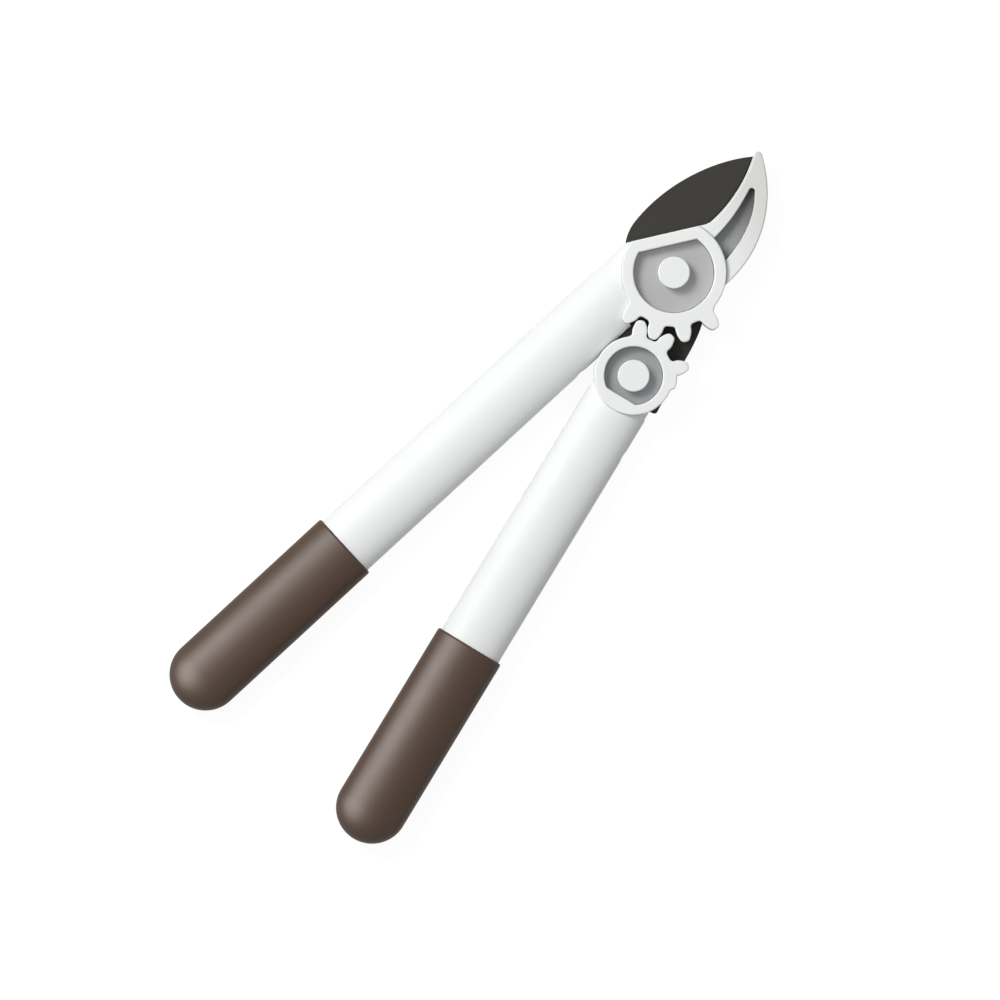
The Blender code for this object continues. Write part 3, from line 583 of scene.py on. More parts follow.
@dataclass(frozen=True)
class Finish:
    """One material of the tool: what it is, its colour, and how its surface was made."""

    name: str
    colour: str
    second_colour: str
    roughness: float
    metallic: float = 0.0
    ior: float = 1.5
    specular: float = 0.5
    cloud_size: float = 30 * MILLIMETRE
    grain_size: float = 0.8 * MILLIMETRE
    grain_depth: float = 0.01 * MILLIMETRE
    roughness_spread: float = 0.05
    noise_roughness: float = 0.55

    def material(self) -> bpy.types.Material:
        """The finish's material, made once.

        Returns:
            The material.
        """
        material = bpy.data.materials.get(self.name)
        if material is None:
            material = bpy.data.materials.new(self.name)
            material.use_nodes = True
            tree = material.node_tree
            shader = tree.nodes["Principled BSDF"]
            shader.inputs["Metallic"].default_value = self.metallic
            shader.inputs["IOR"].default_value = self.ior
            shader.inputs["Specular IOR Level"].default_value = self.specular
            place = add_node(tree, "TexCoord").outputs["Object"]
            tree.links.new(self.colour_pattern(tree, place), shader.inputs["Base Color"])
            tree.links.new(self.roughness_pattern(tree, place), shader.inputs["Roughness"])
            tree.links.new(self.relief(tree, place), shader.inputs["Normal"])
        return material

    def patches(self, size: float, detail: float) -> dict[str, float]:
        """Settings of soft noise whose patches have a real size."""
        return {"Scale": 1.0 / size, "Detail": detail, "Roughness": self.noise_roughness}

    def second_share(self, tree: Tree, place: Socket) -> Socket:
        """Share of the second colour: the two drift into each other over the piece."""
        settings = self.patches(self.cloud_size, CLOUD_DETAIL)
        return add_node(tree, "TexNoise", settings, {"Vector": place}).outputs["Fac"]

    def colour_pattern(self, tree: Tree, place: Socket) -> Socket:
        """The finish's two colours, mixed by the share of the second.

        Args:
            tree: The node tree.
            place: Place on the piece.

        Returns:
            The colour's socket.
        """
        settings = {
            "data_type": "RGBA",
            FIRST_COLOUR: linear_colour(self.colour),
            SECOND_COLOUR: linear_colour(self.second_colour),
        }
        links = {0: self.second_share(tree, place)}
        return add_node(tree, "Mix", settings, links).outputs[MIXED_COLOUR]

    def roughness_pattern(self, tree: Tree, place: Socket) -> Socket:
        """Roughness that varies a little over the piece.

        Args:
            tree: The node tree.
            place: Place on the piece.

        Returns:
            The roughness's socket.
        """
        settings = self.patches(self.cloud_size / 2, SHEEN_DETAIL)
        cloud = add_node(tree, "TexNoise", settings, {"Vector": place})
        settings = {
            "To Min": self.roughness - self.roughness_spread,
            "To Max": self.roughness + self.roughness_spread,
        }
        return add_node(tree, "MapRange", settings, {"Value": cloud.outputs["Fac"]}).outputs["Result"]

    def grain(self, tree: Tree, place: Socket) -> Socket:
        """Height of the surface's fine unevenness."""
        settings = self.patches(self.grain_size, GRAIN_DETAIL)
        return add_node(tree, "TexNoise", settings, {"Vector": place}).outputs["Fac"]

    def relief(self, tree: Tree, place: Socket) -> Socket:
        """The fine unevenness as a bump of its real depth."""
        settings = {"Strength": 1.0, "Distance": self.grain_depth}
        return add_node(tree, "Bump", settings, {"Height": self.grain(tree, place)}).outputs["Normal"]


@dataclass(frozen=True)
class LappedSteel(Finish):
    """Steel plate whose grinding lines show faintly through a thin coat."""

    line_width: float = 0.35 * MILLIMETRE
    line_length: float = 14 * MILLIMETRE
    line_facing: float = 47.0

    def grain(self, tree: Tree, place: Socket) -> Socket:
        """Height of the grinding lines.

        Args:
            tree: The node tree.
            place: Place on the plate.

        Returns:
            The height's socket.
        """
        settings = {
            "vector_type": "TEXTURE",
            "Rotation": (0.0, 0.0, math.radians(self.line_facing)),
            "Scale": (self.line_length / self.line_width, 1.0, 1.0),
        }
        stretched = add_node(tree, "Mapping", settings, {"Vector": place})
        settings = self.patches(self.line_width, GRAIN_DETAIL)
        links = {"Vector": stretched.outputs["Vector"]}
        return add_node(tree, "TexNoise", settings, links).outputs["Fac"]


@dataclass(frozen=True)
class GradedEnamel(Finish):
    """Enamel that drifts from its first colour to its second with the distance from the main pivot."""

    near: float = 30 * MILLIMETRE
    far: float = 58 * MILLIMETRE
    unevenness: float = 0.2

    def second_share(self, tree: Tree, place: Socket) -> Socket:
        """Share of the second colour: none up to the near distance, all from the far one, a little uneven.

        Args:
            tree: The node tree.
            place: Place on the piece.

        Returns:
            The share's socket.
        """
        level = add_node(tree, "Mapping", {"Scale": (1.0, 1.0, 0.0)}, {"Vector": place})
        settings = {"operation": "LENGTH"}
        distance = add_node(tree, "VectorMath", settings, {0: level.outputs["Vector"]})
        settings = {
            "From Min": self.near,
            "From Max": self.far,
            "To Min": -self.unevenness / 2,
            "To Max": 1.0 - self.unevenness / 2,
        }
        share = add_node(tree, "MapRange", settings, {"Value": distance.outputs["Value"]})
        cloud = super().second_share(tree, place)
        settings = {"operation": "MULTIPLY_ADD", 1: self.unevenness}
        return add_node(tree, "Math", settings, {0: cloud, 2: share.outputs["Result"]}).outputs[0]


# Polyester powder coat on drawn aluminium tube: even white with a soft sheen and a faint orange peel
POWDER_COAT = Finish(
    "white_powder_coat", "#EEF0F0", "#EBEDED", roughness=0.40, specular=0.1, grain_size=1.6 * MILLIMETRE,
    grain_depth=0.004 * MILLIMETRE,
)
# Enamel on a zinc or aluminium die casting: satin white that rounds off every edge a little
ENAMEL = Finish(
    "white_enamel_on_casting", "#ECEEED", "#E9EBE9", roughness=0.42, specular=0.3,
    grain_size=0.9 * MILLIMETRE, grain_depth=0.004 * MILLIMETRE,
)
# The same enamel on the anvil arm, drawn darker and greyer towards the tip
ARM_ENAMEL = GradedEnamel(
    "white_enamel_on_anvil_arm", "#ECEEED", "#D8D8D4", roughness=0.42, specular=0.3,
    grain_size=0.9 * MILLIMETRE, grain_depth=0.004 * MILLIMETRE,
)
# Painted shade down in the fixed disc's recess: the same enamel, drawn grey and matt
FIXED_RECESS_PAINTED_SHADE = Finish(
    "thin_enamel_in_recess", "#B1B1B1", "#AAAAAA", roughness=0.58, specular=0.3,
    grain_size=0.7 * MILLIMETRE, grain_depth=0.010 * MILLIMETRE,
)
# The lever disc's recess is narrower, and its painted shade is drawn darker still
LEVER_RECESS_PAINTED_SHADE = Finish(
    "thinner_enamel_in_recess", "#9A9B9D", "#939496", roughness=0.60, specular=0.3,
    grain_size=0.7 * MILLIMETRE, grain_depth=0.010 * MILLIMETRE,
)
# Painted shade in the arm's pockets: the enamel is drawn grey, and darker still towards their narrow end
# near the tip
POCKET_PAINTED_SHADE = GradedEnamel(
    "dusted_enamel_in_pocket", "#AAABAC", "#585959", roughness=0.62, specular=0.3,
    grain_size=0.7 * MILLIMETRE, grain_depth=0.012 * MILLIMETRE,
)
# Moulded ABS cap: smooth and a touch glossier than the castings
CAP_PLASTIC = Finish(
    "white_moulded_abs", "#ECEEEE", "#E9EBEB", roughness=0.36, specular=0.35,
    grain_size=1.2 * MILLIMETRE, grain_depth=0.002 * MILLIMETRE,
)
# Moulded thermoplastic rubber: dark warm brown, with a broad soft highlight on a finely eroded skin
GRIP_RUBBER = Finish(
    "brown_thermoplastic_rubber", "#483426", "#433124", roughness=0.48, specular=0.32,
    grain_size=0.6 * MILLIMETRE, grain_depth=0.012 * MILLIMETRE,
)
# Dry-film low-friction coat on ground spring steel: near black, matt, the grinding just showing
BLADE_COAT = LappedSteel(
    "dark_low_friction_coat", "#363430", "#33312D", roughness=0.55, specular=0.12,
    grain_depth=0.006 * MILLIMETRE,
)
# Bright zinc plate on cold-headed steel: silvery, with a slight haze
ZINC_PLATE = Finish(
    "zinc_plate_on_steel", "#C3C4C6", "#B6B8BB", roughness=0.30, metallic=1.0, roughness_spread=0.08,
    cloud_size=4 * MILLIMETRE, grain_size=0.5 * MILLIMETRE,
)
# Oil-filled sintered bronze: dull gold, grainy with fine pores
SINTERED_BRONZE = Finish(
    "sintered_bronze", "#A9814A", "#8F6A3A", roughness=0.48, metallic=1.0,
    cloud_size=1.5 * MILLIMETRE, grain_size=0.25 * MILLIMETRE, grain_depth=0.02 * MILLIMETRE,
)
# Turned nylon washer: milky white and waxy
NYLON = Finish("natural_nylon", "#E4E2DA", "#DCDAD1", roughness=0.42, ior=1.53)


# Toothed discs


@dataclass(frozen=True)
class ToothForm:
    """Involute tooth that both pairs of discs share."""

    module: float = 5.0 * MILLIMETRE
    pressure_angle: float = 22.0
    addendum: float = 4.0 * MILLIMETRE
    tip_clearance: float = 0.4 * MILLIMETRE
    backlash: float = 0.9 * MILLIMETRE
    tip_round: float = 2.4 * MILLIMETRE
    root_round: float = 1.9 * MILLIMETRE
    flank_points: int = 8
    round_steps: int = 6

    def half_angle(self, pitch_radius: float, radius: float) -> float:
        """Half of the angle that a tooth takes up.

        Args:
            pitch_radius: Radius at which the disc rolls on its mate.
            radius: Radius at which the tooth is measured.

        Returns:
            The half angle in radians.
        """
        pressure = math.radians(self.pressure_angle)
        at_radius = math.acos(min(1.0, pitch_radius * math.cos(pressure) / radius))
        thickness = (math.pi * self.module - self.backlash) / 2
        spread = math.tan(pressure) - pressure - math.tan(at_radius) + at_radius
        return thickness / (2 * pitch_radius) + spread

    def flank(self, pitch_radius: float) -> list[tuple[float, float]]:
        """One flank of a tooth.

        Args:
            pitch_radius: Radius at which the disc rolls on its mate.

        Returns:
            (radius, half angle in degrees) from the root's fillet to the rounded tip.
        """
        root = pitch_radius - self.addendum - self.tip_clearance
        tip = pitch_radius + self.addendum
        base_radius = pitch_radius * math.cos(math.radians(self.pressure_angle))
        lean = math.acos(base_radius / (tip - self.tip_round / 2))
        round_start = tip - self.tip_round * (1 - math.sin(lean))
        base_half = self.half_angle(pitch_radius, base_radius)
        flank = []
        for i in range(self.round_steps):
            turn = math.pi / 2 * i / self.round_steps
            across = self.root_round * (1 - math.sin(turn)) / root
            flank.append((root + self.root_round * (1 - math.cos(turn)), base_half + across))
        start = max(base_radius, root + self.root_round)
        for i in range(self.flank_points):
            radius = start + (round_start - start) * i / (self.flank_points - 1)
            flank.append((radius, self.half_angle(pitch_radius, radius)))
        round_half = flank[-1][1]
        for i in range(1, self.round_steps + 1):
            turn = lean + (math.pi / 2 - lean) * i / self.round_steps
            across = self.tip_round * (math.cos(lean) - math.cos(turn)) / round_start
            flank.append((tip - self.tip_round * (1 - math.sin(turn)), round_half - across))
        return [(radius, math.degrees(half)) for radius, half in flank]


@dataclass(frozen=True)
class ToothedDisc:
    """Cast disc with teeth on part of its rim and a D-shaped opening."""

    teeth_on_circle: int
    tooth_facings: tuple[float, ...]
    root_step: float
    rim: float
    recess_flat: float
    recess_facing: float
    flat: float = 0.0
    stub_height: float = 0.0
    stub_sweep: float = 17.0
    stub_slope: float = 6.0
    stub_round: float = 1.0 * MILLIMETRE
    edge_round: float = 0.8 * MILLIMETRE
    form: ToothForm = ToothForm()

    @property
    def pitch_radius(self) -> float:
        """Radius at which the disc rolls on its mate."""
        return self.form.module * self.teeth_on_circle / 2

    @property
    def disc_radius(self) -> float:
        """Radius of the rim between and beside the teeth."""
        return self.pitch_radius - self.form.addendum - self.form.tip_clearance - self.root_step

    @property
    def recess_radius(self) -> float:
        """Radius of the D-shaped opening."""
        return self.disc_radius - self.rim

    def outline(self, with_flat: bool = True) -> Outline:
        """Points of the rim and its teeth, anticlockwise.

        Args:
            with_flat: Whether the rim's flat is cut.

        Returns:
            The closed outline.
        """
        flank = self.form.flank(self.pitch_radius)
        root_half = flank[0][1]
        first = self.tooth_facings[0] - root_half
        rising = flank
        points = []
        if self.stub_height:
            stub_radius = self.disc_radius + self.stub_height
            rising = [(radius, half) for radius, half in flank if radius > stub_radius]
            stub_end = self.tooth_facings[0] - rising[0][1]
            first = stub_end - self.stub_sweep
            foot = polar(self.disc_radius, first - self.stub_slope)
            stub = arc(stub_radius, first, stub_end)
            points += rounded_corner(foot, stub[0], stub[1], self.stub_round) + stub[2:]
        for facing in self.tooth_facings:
            points += [polar(radius, facing - half) for radius, half in rising]
            points += [polar(radius, facing + half) for radius, half in reversed(flank)]
            rising = flank
        rim_start = self.tooth_facings[-1] + root_half + ARC_STEP / 2
        rim_end = first + 360.0 - (self.stub_slope if self.stub_height else ARC_STEP / 2)
        if self.flat and with_flat:
            half = math.degrees(math.acos(self.flat / self.disc_radius))
            points += arc(self.disc_radius, rim_start, self.recess_facing - half)
            points += arc(self.disc_radius, self.recess_facing + half, rim_end)
        else:
            points += arc(self.disc_radius, rim_start, rim_end)
        return points

    def recess(self, inset: float = 0.0) -> Outline:
        """The D-shaped opening, or the pad that fills it, smaller by an inset."""
        return flatted_circle(self.recess_radius - inset, self.recess_flat - inset, self.recess_facing)

    def solid(self, face: Face, low: float, high: float) -> Solid:
        """The disc on one face of the tool, its edges rounded where they show.

        Args:
            face: The face that it lies on.
            low: Height of its inner face above the middle of the blade.
            high: Height of its outer face.

        Returns:
            The disc.
        """
        levels = [(face.value * low, 0.0)]
        levels += [(face.value * (high - depth), growth) for depth, growth in rounded_edge(self.edge_round)]
        return Solid.plate(self.outline(), levels, holes=[self.recess()])


# Handles and pivots


@dataclass(frozen=True)
class Layers:
    """Heights of the stacked pieces above the middle of the blade, the same on both faces."""

    middle: float
    blade: float
    slot: float
    disc_low: float
    disc_high: float
    seat: float
    cap_top: float

    @classmethod
    def measured(cls) -> Layers:
        """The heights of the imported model's own nodes.

        Returns:
            The layers.
        """
        middle = (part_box("front_fixed_gear")[0].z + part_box("rear_fixed_gear")[1].z) / 2
        return cls(
            middle=middle,
            blade=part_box("blade")[1].z - middle,
            slot=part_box("front_main_pivot_washer")[1].z - middle + RUNNING_GAP,
            disc_low=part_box("front_fixed_gear")[0].z - middle,
            disc_high=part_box("front_fixed_gear")[1].z - middle,
            seat=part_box("front_pivot_cap")[0].z - middle,
            cap_top=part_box("front_pivot_cap")[1].z - middle,
        )

    @property
    def ear(self) -> float:
        """Top of the castings' ears, just under the discs."""
        return self.disc_low - FIT

    @property
    def pad(self) -> float:
        """Top of the pads that key the discs, just under the caps."""
        return self.seat - FIT


@dataclass(frozen=True)
class HandleTube:
    """Oval aluminium tube."""

    centre_x: float
    top: float
    bottom: float
    width: float = 34.4 * MILLIMETRE
    thickness: float = 22.0 * MILLIMETRE
    wall: float = 1.6 * MILLIMETRE
    fine_length: float = 80 * MILLIMETRE
    fine_step: float = 4 * MILLIMETRE
    coarse_step: float = 20 * MILLIMETRE

    def loops(self, inset: float, stops: Iterable[float]) -> list[list[Place]]:
        """Oval loops across the tube.

        Args:
            inset: How far inside the tube's skin they lie.
            stops: Their places along the tube.

        Returns:
            The loops.
        """
        half_sizes = (self.width / 2 - inset, self.thickness / 2 - inset)
        angles = [2 * math.pi * i / LOOP_SIDES for i in range(LOOP_SIDES)]
        return [[oval_point(self.centre_x, half_sizes, stop, angle) for angle in angles] for stop in stops]

    def solid(self) -> Solid:
        """Plain tube, with closer rings near its head end, where it is cut to shape.

        Returns:
            The tube.
        """
        stops = [self.top]
        while stops[-1] > self.bottom + self.coarse_step:
            fine = stops[-1] > self.top - self.fine_length
            stops.append(stops[-1] - (self.fine_step if fine else self.coarse_step))
        stops.append(self.bottom)
        outer = self.loops(0.0, stops)
        inner = self.loops(self.wall, reversed(stops))
        return Solid.skin(outer + inner, ring=True)

    def plug(self, top: float, bottom: float) -> Solid:
        """Solid oval spigot that fills the tube's head end."""
        return Solid.skin(self.loops(self.wall + FIT, (top, bottom)))


@dataclass(frozen=True)
class SoftGrip:
    """Moulded sleeve with a square mouth, a round closed end and a fine line down one side of each face."""

    tube: HandleTube
    mouth: float
    length: float
    wall: float = 1.35 * MILLIMETRE
    mouth_round: float = 1.2 * MILLIMETRE
    line_facing: float = 31.0
    line_depth: float = 0.30 * MILLIMETRE
    line_floor: float = 0.7
    line_reach: float = 2.0
    line_end: float = 30.0
    end_turn: float = 88.0
    end_rings: int = 22
    body_rings: int = 24

    def half_sizes(self, wall: float) -> Point:
        """Half width and half thickness of the sleeve at some depth of its wall."""
        return (self.tube.width / 2 + FIT + wall, self.tube.thickness / 2 + FIT + wall)

    def angles(self) -> list[float]:
        """Angles round the grip, with more of them across the two lines.

        Returns:
            The angles in rising order.
        """
        step = 360.0 / LOOP_SIDES
        turns = (-self.line_reach, -self.line_floor, self.line_floor, self.line_reach)
        across = [side * self.line_facing + turn for side in (1, -1) for turn in turns]
        plain = [i * step - 180.0 for i in range(LOOP_SIDES)]
        clear = [facing for facing in plain if min(abs(facing - other) for other in across) > step / 2]
        return sorted(clear + across)

    def loop(self, half_sizes: Point, along: float, depth: float = 0.0) -> list[Place]:
        """Loop across the grip.

        Args:
            half_sizes: Its half width and half thickness.
            along: Its place along the handle.
            depth: How deep the two lines are there.

        Returns:
            The loop's points.
        """
        points = []
        for facing in self.angles():
            from_line = abs(abs(facing) - self.line_facing)
            share = (self.line_reach - from_line) / (self.line_reach - self.line_floor)
            inset = depth * min(1.0, max(0.0, share))
            drawn_in = (half_sizes[0] - inset, half_sizes[1] - inset)
            points.append(oval_point(self.tube.centre_x, drawn_in, along, math.radians(facing)))
        return points

    def solid(self) -> Solid:
        """The grip, hollow for the tube.

        Returns:
            The grip.
        """
        bore = self.half_sizes(0.0)
        skin = self.half_sizes(self.wall)
        half_width, half_thickness = skin
        loops = [self.loop(bore, self.tube.bottom - FIT), self.loop(bore, self.mouth)]
        for depth, growth in reversed(rounded_edge(self.mouth_round)):
            loops.append(self.loop((half_width + growth, half_thickness + growth), self.mouth - depth))
        start = self.mouth - self.mouth_round
        round_from = self.mouth - self.length + half_width
        for i in range(1, self.body_rings):
            along = start + (round_from - start) * i / self.body_rings
            loops.append(self.loop(skin, along, self.line_depth))
        for i in range(self.end_rings + 1):
            turn = math.radians(self.end_turn) * i / self.end_rings
            share = math.cos(turn)
            along = round_from - half_width * math.sin(turn)
            depth = self.line_depth * max(0.0, 1 - turn / math.radians(self.line_end))
            loops.append(self.loop((half_width * share, half_thickness * share), along, depth))
        return Solid.skin(loops)


@dataclass(frozen=True)
class PivotCap:
    """Round moulded cap over a pivot's bolt head or nut, hollow on the inside."""

    radius: float
    wall: float = 1.0 * MILLIMETRE
    top: float = 1.2 * MILLIMETRE
    edge_round: float = 0.6 * MILLIMETRE

    def solid(self, face: Face, layers: Layers) -> Solid:
        """The cap on one face of the tool.

        Args:
            face: The face that it lies on.
            layers: Heights of the stacked pieces.

        Returns:
            The cap.
        """
        side = face.value
        inner = self.radius - self.wall
        loops = [
            level_circle(inner, side * (layers.cap_top - self.top)),
            level_circle(inner, side * layers.seat),
            level_circle(self.radius, side * layers.seat),
        ]
        for depth, growth in rounded_edge(self.edge_round):
            loops.append(level_circle(self.radius + growth, side * (layers.cap_top - depth)))
        return Solid.skin(loops)


@dataclass(frozen=True)
class Pivot:
    """One pivot: two caps that show, and the bolt, nut and washers under them."""

    name: str
    cap_name: str
    bolt_radius: float = 4.0 * MILLIMETRE

    def add(self, place: BodyPlace, layers: Layers, nodes: dict[str, bpy.types.Object]) -> None:
        """Builds the caps and dresses the hidden hardware.

        Args:
            place: The body that carries the pivot.
            layers: Heights of the stacked pieces.
            nodes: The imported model's nodes.
        """
        for face in Face:
            side = face.name.lower()
            node = f"{side}_{self.cap_name}"
            low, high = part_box(node)
            cap = PivotCap(radius=(high.x - low.x) / 2)
            place.add(f"{node}_moulded", cap.solid(face, layers), [CAP_PLASTIC], Slot.CAP, [node])
            dress(nodes[f"{side}_{self.name}_washer"], NYLON)
        dress(nodes[f"{self.name}_bolt"], ZINC_PLATE)
        dress(nodes[f"{self.name}_nut"], ZINC_PLATE)

    def bolt_hole(self) -> Solid:
        """Cutter for the hole that the bolt goes through."""
        return Solid.rod(self.bolt_radius + FIT)


def dress(node: bpy.types.Object, finish: Finish) -> None:
    """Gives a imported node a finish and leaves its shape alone.

    Args:
        node: The node's object.
        finish: What it is made of.
    """
    for slot in node.material_slots:
        slot.link = "OBJECT"
        slot.material = finish.material()
    LOG.info("%s: dressed in %s", node.name, finish.name)


# Jaws


@dataclass(frozen=True)
class Jaws:
    """The blade and the anvil arm's shared lines, seen from the photographed face."""

    pivot_line_facing: float = -64.0
    pivot_spacing: float = 57.5 * MILLIMETRE
    opening: float = 42.0
    hub_radius: float = 14.0 * MILLIMETRE
    neck_angle: float = 85.0
    shoulder_angle: float = -2.0
    neck: Point = (-0.00938, 0.02575)
    inner_corner: Point = (-0.0072, 0.0296)
    edge: Cubic = ((-0.0065, 0.0318), (-0.0059, 0.0424), (-0.0087, 0.0582), (-0.0165, 0.0714))
    back: Cubic = ((-0.0165, 0.0714), (-0.0292, 0.0550), (-0.0374, 0.0276), (-0.03315, 0.00245))
    heel: Cubic = ((-0.03315, 0.00245), (-0.0319, -0.0036), (-0.0292, -0.0069), (-0.0283, -0.0079))
    gap: float = 0.3 * MILLIMETRE
    tang_end_radius: float = 18.5 * MILLIMETRE
    tang_outer_top: Cubic = ((0.0420, 0.0218), (0.0320, 0.0234), (0.0225, 0.0243), (0.0164, 0.0230))
    tang_width_at_end: float = 18.2 * MILLIMETRE
    tang_reach: float = 14.4 * MILLIMETRE
    tang_round: float = 1.6 * MILLIMETRE
    bevel_width: float = 0.9 * MILLIMETRE
    edge_thickness: float = 0.4 * MILLIMETRE
    rub_round: float = 0.15 * MILLIMETRE
    curve_points: int = 40
    tang_curve_points: int = 16
    short_curve_points: int = 14
    slot_spare_turn: float = 2.0
    slot_flare: float = 8.0

    def tang_frame(self) -> tuple[Vector, Vector]:
        """Unit vectors along the line from the main pivot to the lever pivot, and across it."""
        return Vector(polar(1.0, self.pivot_line_facing)), Vector(polar(1.0, self.pivot_line_facing + 90.0))

    @property
    def tang_lean(self) -> float:
        """Angle in radians between the tang's straight edge and the line through both pivots."""
        return math.asin((self.tang_end_radius - self.hub_radius) / self.pivot_spacing)

    def tang_inner_edge(self) -> tuple[Point, Point]:
        """The tang's straight edge, tangent to the hub and to the tang's round end.

        Returns:
            The edge's two ends.
        """
        along, across = self.tang_frame()
        outwards = -across * math.cos(self.tang_lean) - along * math.sin(self.tang_lean)
        end = along * self.pivot_spacing + outwards * self.tang_end_radius
        return tuple(outwards * self.hub_radius), tuple(end)

    def cutting_edge(self) -> Outline:
        """Points of the blade's cutting edge, from its neck and inner corner to the tip."""
        return [self.neck, self.inner_corner] + cubic(self.edge, self.curve_points)

    def blade_outline(self) -> tuple[Outline, list[bool]]:
        """Cutting part and tang in one, anticlockwise.

        Returns:
            The outline, and whether each of its points is on the ground cutting edge.
        """
        along, across = self.tang_frame()
        past_pivot = along * (self.pivot_spacing + self.tang_reach)
        corner = past_pivot + across * self.tang_width_at_end
        outer_top = cubic(self.tang_outer_top, self.tang_curve_points)
        outer_top = [tuple(along * x + across * y) for x, y in outer_top]
        end_half = math.degrees(math.acos(self.tang_reach / self.tang_end_radius))
        facing = self.pivot_line_facing
        end_start = facing - 90.0 - math.degrees(self.tang_lean)
        end_arc = arc(self.tang_end_radius, end_start, facing - end_half)
        shoulder = polar(self.hub_radius, self.shoulder_angle)
        points = [self.tang_inner_edge()[0], *moved(end_arc, along * self.pivot_spacing)]
        points += rounded_corner(past_pivot, corner, outer_top[0], self.tang_round)
        points += outer_top[:-1]
        points += rounded_corner(outer_top[-2], outer_top[-1], shoulder, self.tang_round)
        points += arc(self.hub_radius, self.shoulder_angle, self.neck_angle)
        ground_from = len(points) + 2
        points += self.cutting_edge()
        ground_to = len(points) - 1
        points += cubic(self.back, self.curve_points)[1:]
        points += cubic(self.heel, self.short_curve_points)[1:]
        return points, [ground_from <= i < ground_to for i in range(len(points))]

    def slot_outline(self, tube_edge: float) -> Outline:
        """Room that the blade and tang sweep through in the middle of the anvil side.

        Args:
            tube_edge: Place of the anvil tube's inner edge.

        Returns:
            The closed outline.
        """
        spare = 2 * FIT
        inner_top, inner_end = (Vector(point) for point in self.tang_inner_edge())
        slope = (inner_end - inner_top).normalized()
        shifted = inner_top + Vector((slope.y, -slope.x)) * spare
        floor = -(math.hypot(*self.heel[-1]) + spare)
        turn_in = shifted + slope * ((floor - shifted.y) / slope.y)
        turn_out = shifted + slope * ((tube_edge + spare - shifted.x) / slope.x)
        hub = self.hub_radius + spare
        neck = grown([polar(self.hub_radius, self.neck_angle), self.neck], spare, closed=False)[1]
        open_angle = self.opening + self.shoulder_angle + self.slot_spare_turn
        points = [(-FAR, floor), tuple(turn_in), tuple(turn_out), (FAR, turn_out.y)]
        points += [polar(FAR, open_angle - self.slot_flare), polar(hub, open_angle)]
        points += arc(hub, open_angle, self.neck_angle - self.slot_spare_turn)[1:]
        points += [neck, (-FAR, neck[1] + spare)]
        return points


@dataclass(frozen=True)
class AnvilArm:
    """The anvil arm with a pocket in each face."""

    jaws: Jaws
    disc: ToothedDisc
    back: Cubic = ((0.0229, 0.0160), (0.0235, 0.0429), (0.0086, 0.0641), (-0.0142, 0.07555))
    tip_round: Cubic = ((-0.0142, 0.07555), (-0.0166, 0.0763), (-0.0180, 0.0742), (-0.01665, 0.0723))
    tip: Point = (-0.0163, 0.0744)
    half_thickness_at_disc: float = 8.5 * MILLIMETRE
    half_thickness_at_tip: float = 3.6 * MILLIMETRE
    edge_round: float = 0.9 * MILLIMETRE
    root_sweep: float = 65.0
    pocket_inner: Cubic = ((-0.0051, 0.0579), (-0.0017, 0.0482), (0.0012, 0.0380), (0.0009, 0.0240))
    pocket_outer: Cubic = ((0.0140, 0.0205), (0.0127, 0.0374), (0.0076, 0.0507), (-0.0022, 0.0593))
    pocket_web: float = 3.0 * MILLIMETRE
    pocket_round: float = 0.5 * MILLIMETRE
    pocket_curve_points: int = 24

    def outline(self) -> Outline:
        """From the arm's root under the disc round its tip and back along the anvil face.

        Returns:
            The closed outline.
        """
        hidden = self.disc.recess_radius - self.disc.rim
        back_facing = facing_of(self.back[0])
        points = [polar(hidden, back_facing)]
        points += cubic(self.back, self.jaws.curve_points)
        points += cubic(self.tip_round, self.jaws.short_curve_points)[1:]
        points += reversed(grown(self.jaws.cutting_edge(), self.jaws.gap, closed=False))
        points += [polar(hidden, back_facing + self.root_sweep)]
        return points

    def half_thickness(self, x: float, y: float) -> float:
        """Half thickness of the arm, which gets thinner towards the tip.

        Args:
            x: Place along X.
            y: Place along Y.

        Returns:
            The half thickness there.
        """
        tip = Vector(self.tip)
        reach = tip.length - self.disc.disc_radius
        share = (Vector((x, y)).dot(tip.normalized()) - self.disc.disc_radius) / reach
        difference = self.half_thickness_at_tip - self.half_thickness_at_disc
        return self.half_thickness_at_disc + difference * share

    def below_face(self, side: int, depth: float) -> Height:
        """Height at a depth below the arm's front (1) or rear (-1) face."""
        return lambda x, y: side * (self.half_thickness(x, y) - depth)

    def solid(self) -> Solid:
        """The arm with its edges rounded, before the pockets are cut.

        Returns:
            The arm.
        """
        steps = rounded_edge(self.edge_round)
        levels = [(self.below_face(-1, depth), growth) for depth, growth in reversed(steps)]
        levels += [(self.below_face(1, depth), growth) for depth, growth in steps]
        return Solid.plate(self.outline(), levels)

    def pocket_outline(self) -> Outline:
        """Pocket that is round at its top and ends below at the disc.

        Returns:
            The closed outline.
        """
        radius = self.disc.disc_radius
        outer = outside_circle(cubic(self.pocket_outer, self.pocket_curve_points), radius)
        inner = outside_circle(cubic(self.pocket_inner, self.pocket_curve_points), radius)
        across_disc = arc(radius, facing_of(inner[-1]), facing_of(outer[0]))[1:-1]
        return outer + half_round(outer[-1], inner[0]) + inner + across_disc

    def pocket_cutter(self) -> Solid:
        """Cutter for both pockets, flared at the faces so that it rounds their rims.

        Returns:
            The cutter.
        """
        levels = [(self.pocket_web / 2, 0.0)]
        for depth, growth in rounded_edge(self.pocket_round):
            levels.append((self.below_face(1, depth), -growth))
        levels.append((FAR, self.pocket_round))
        return Solid.plate(self.pocket_outline(), levels).mirrored_copy_added()


# Sub-assemblies


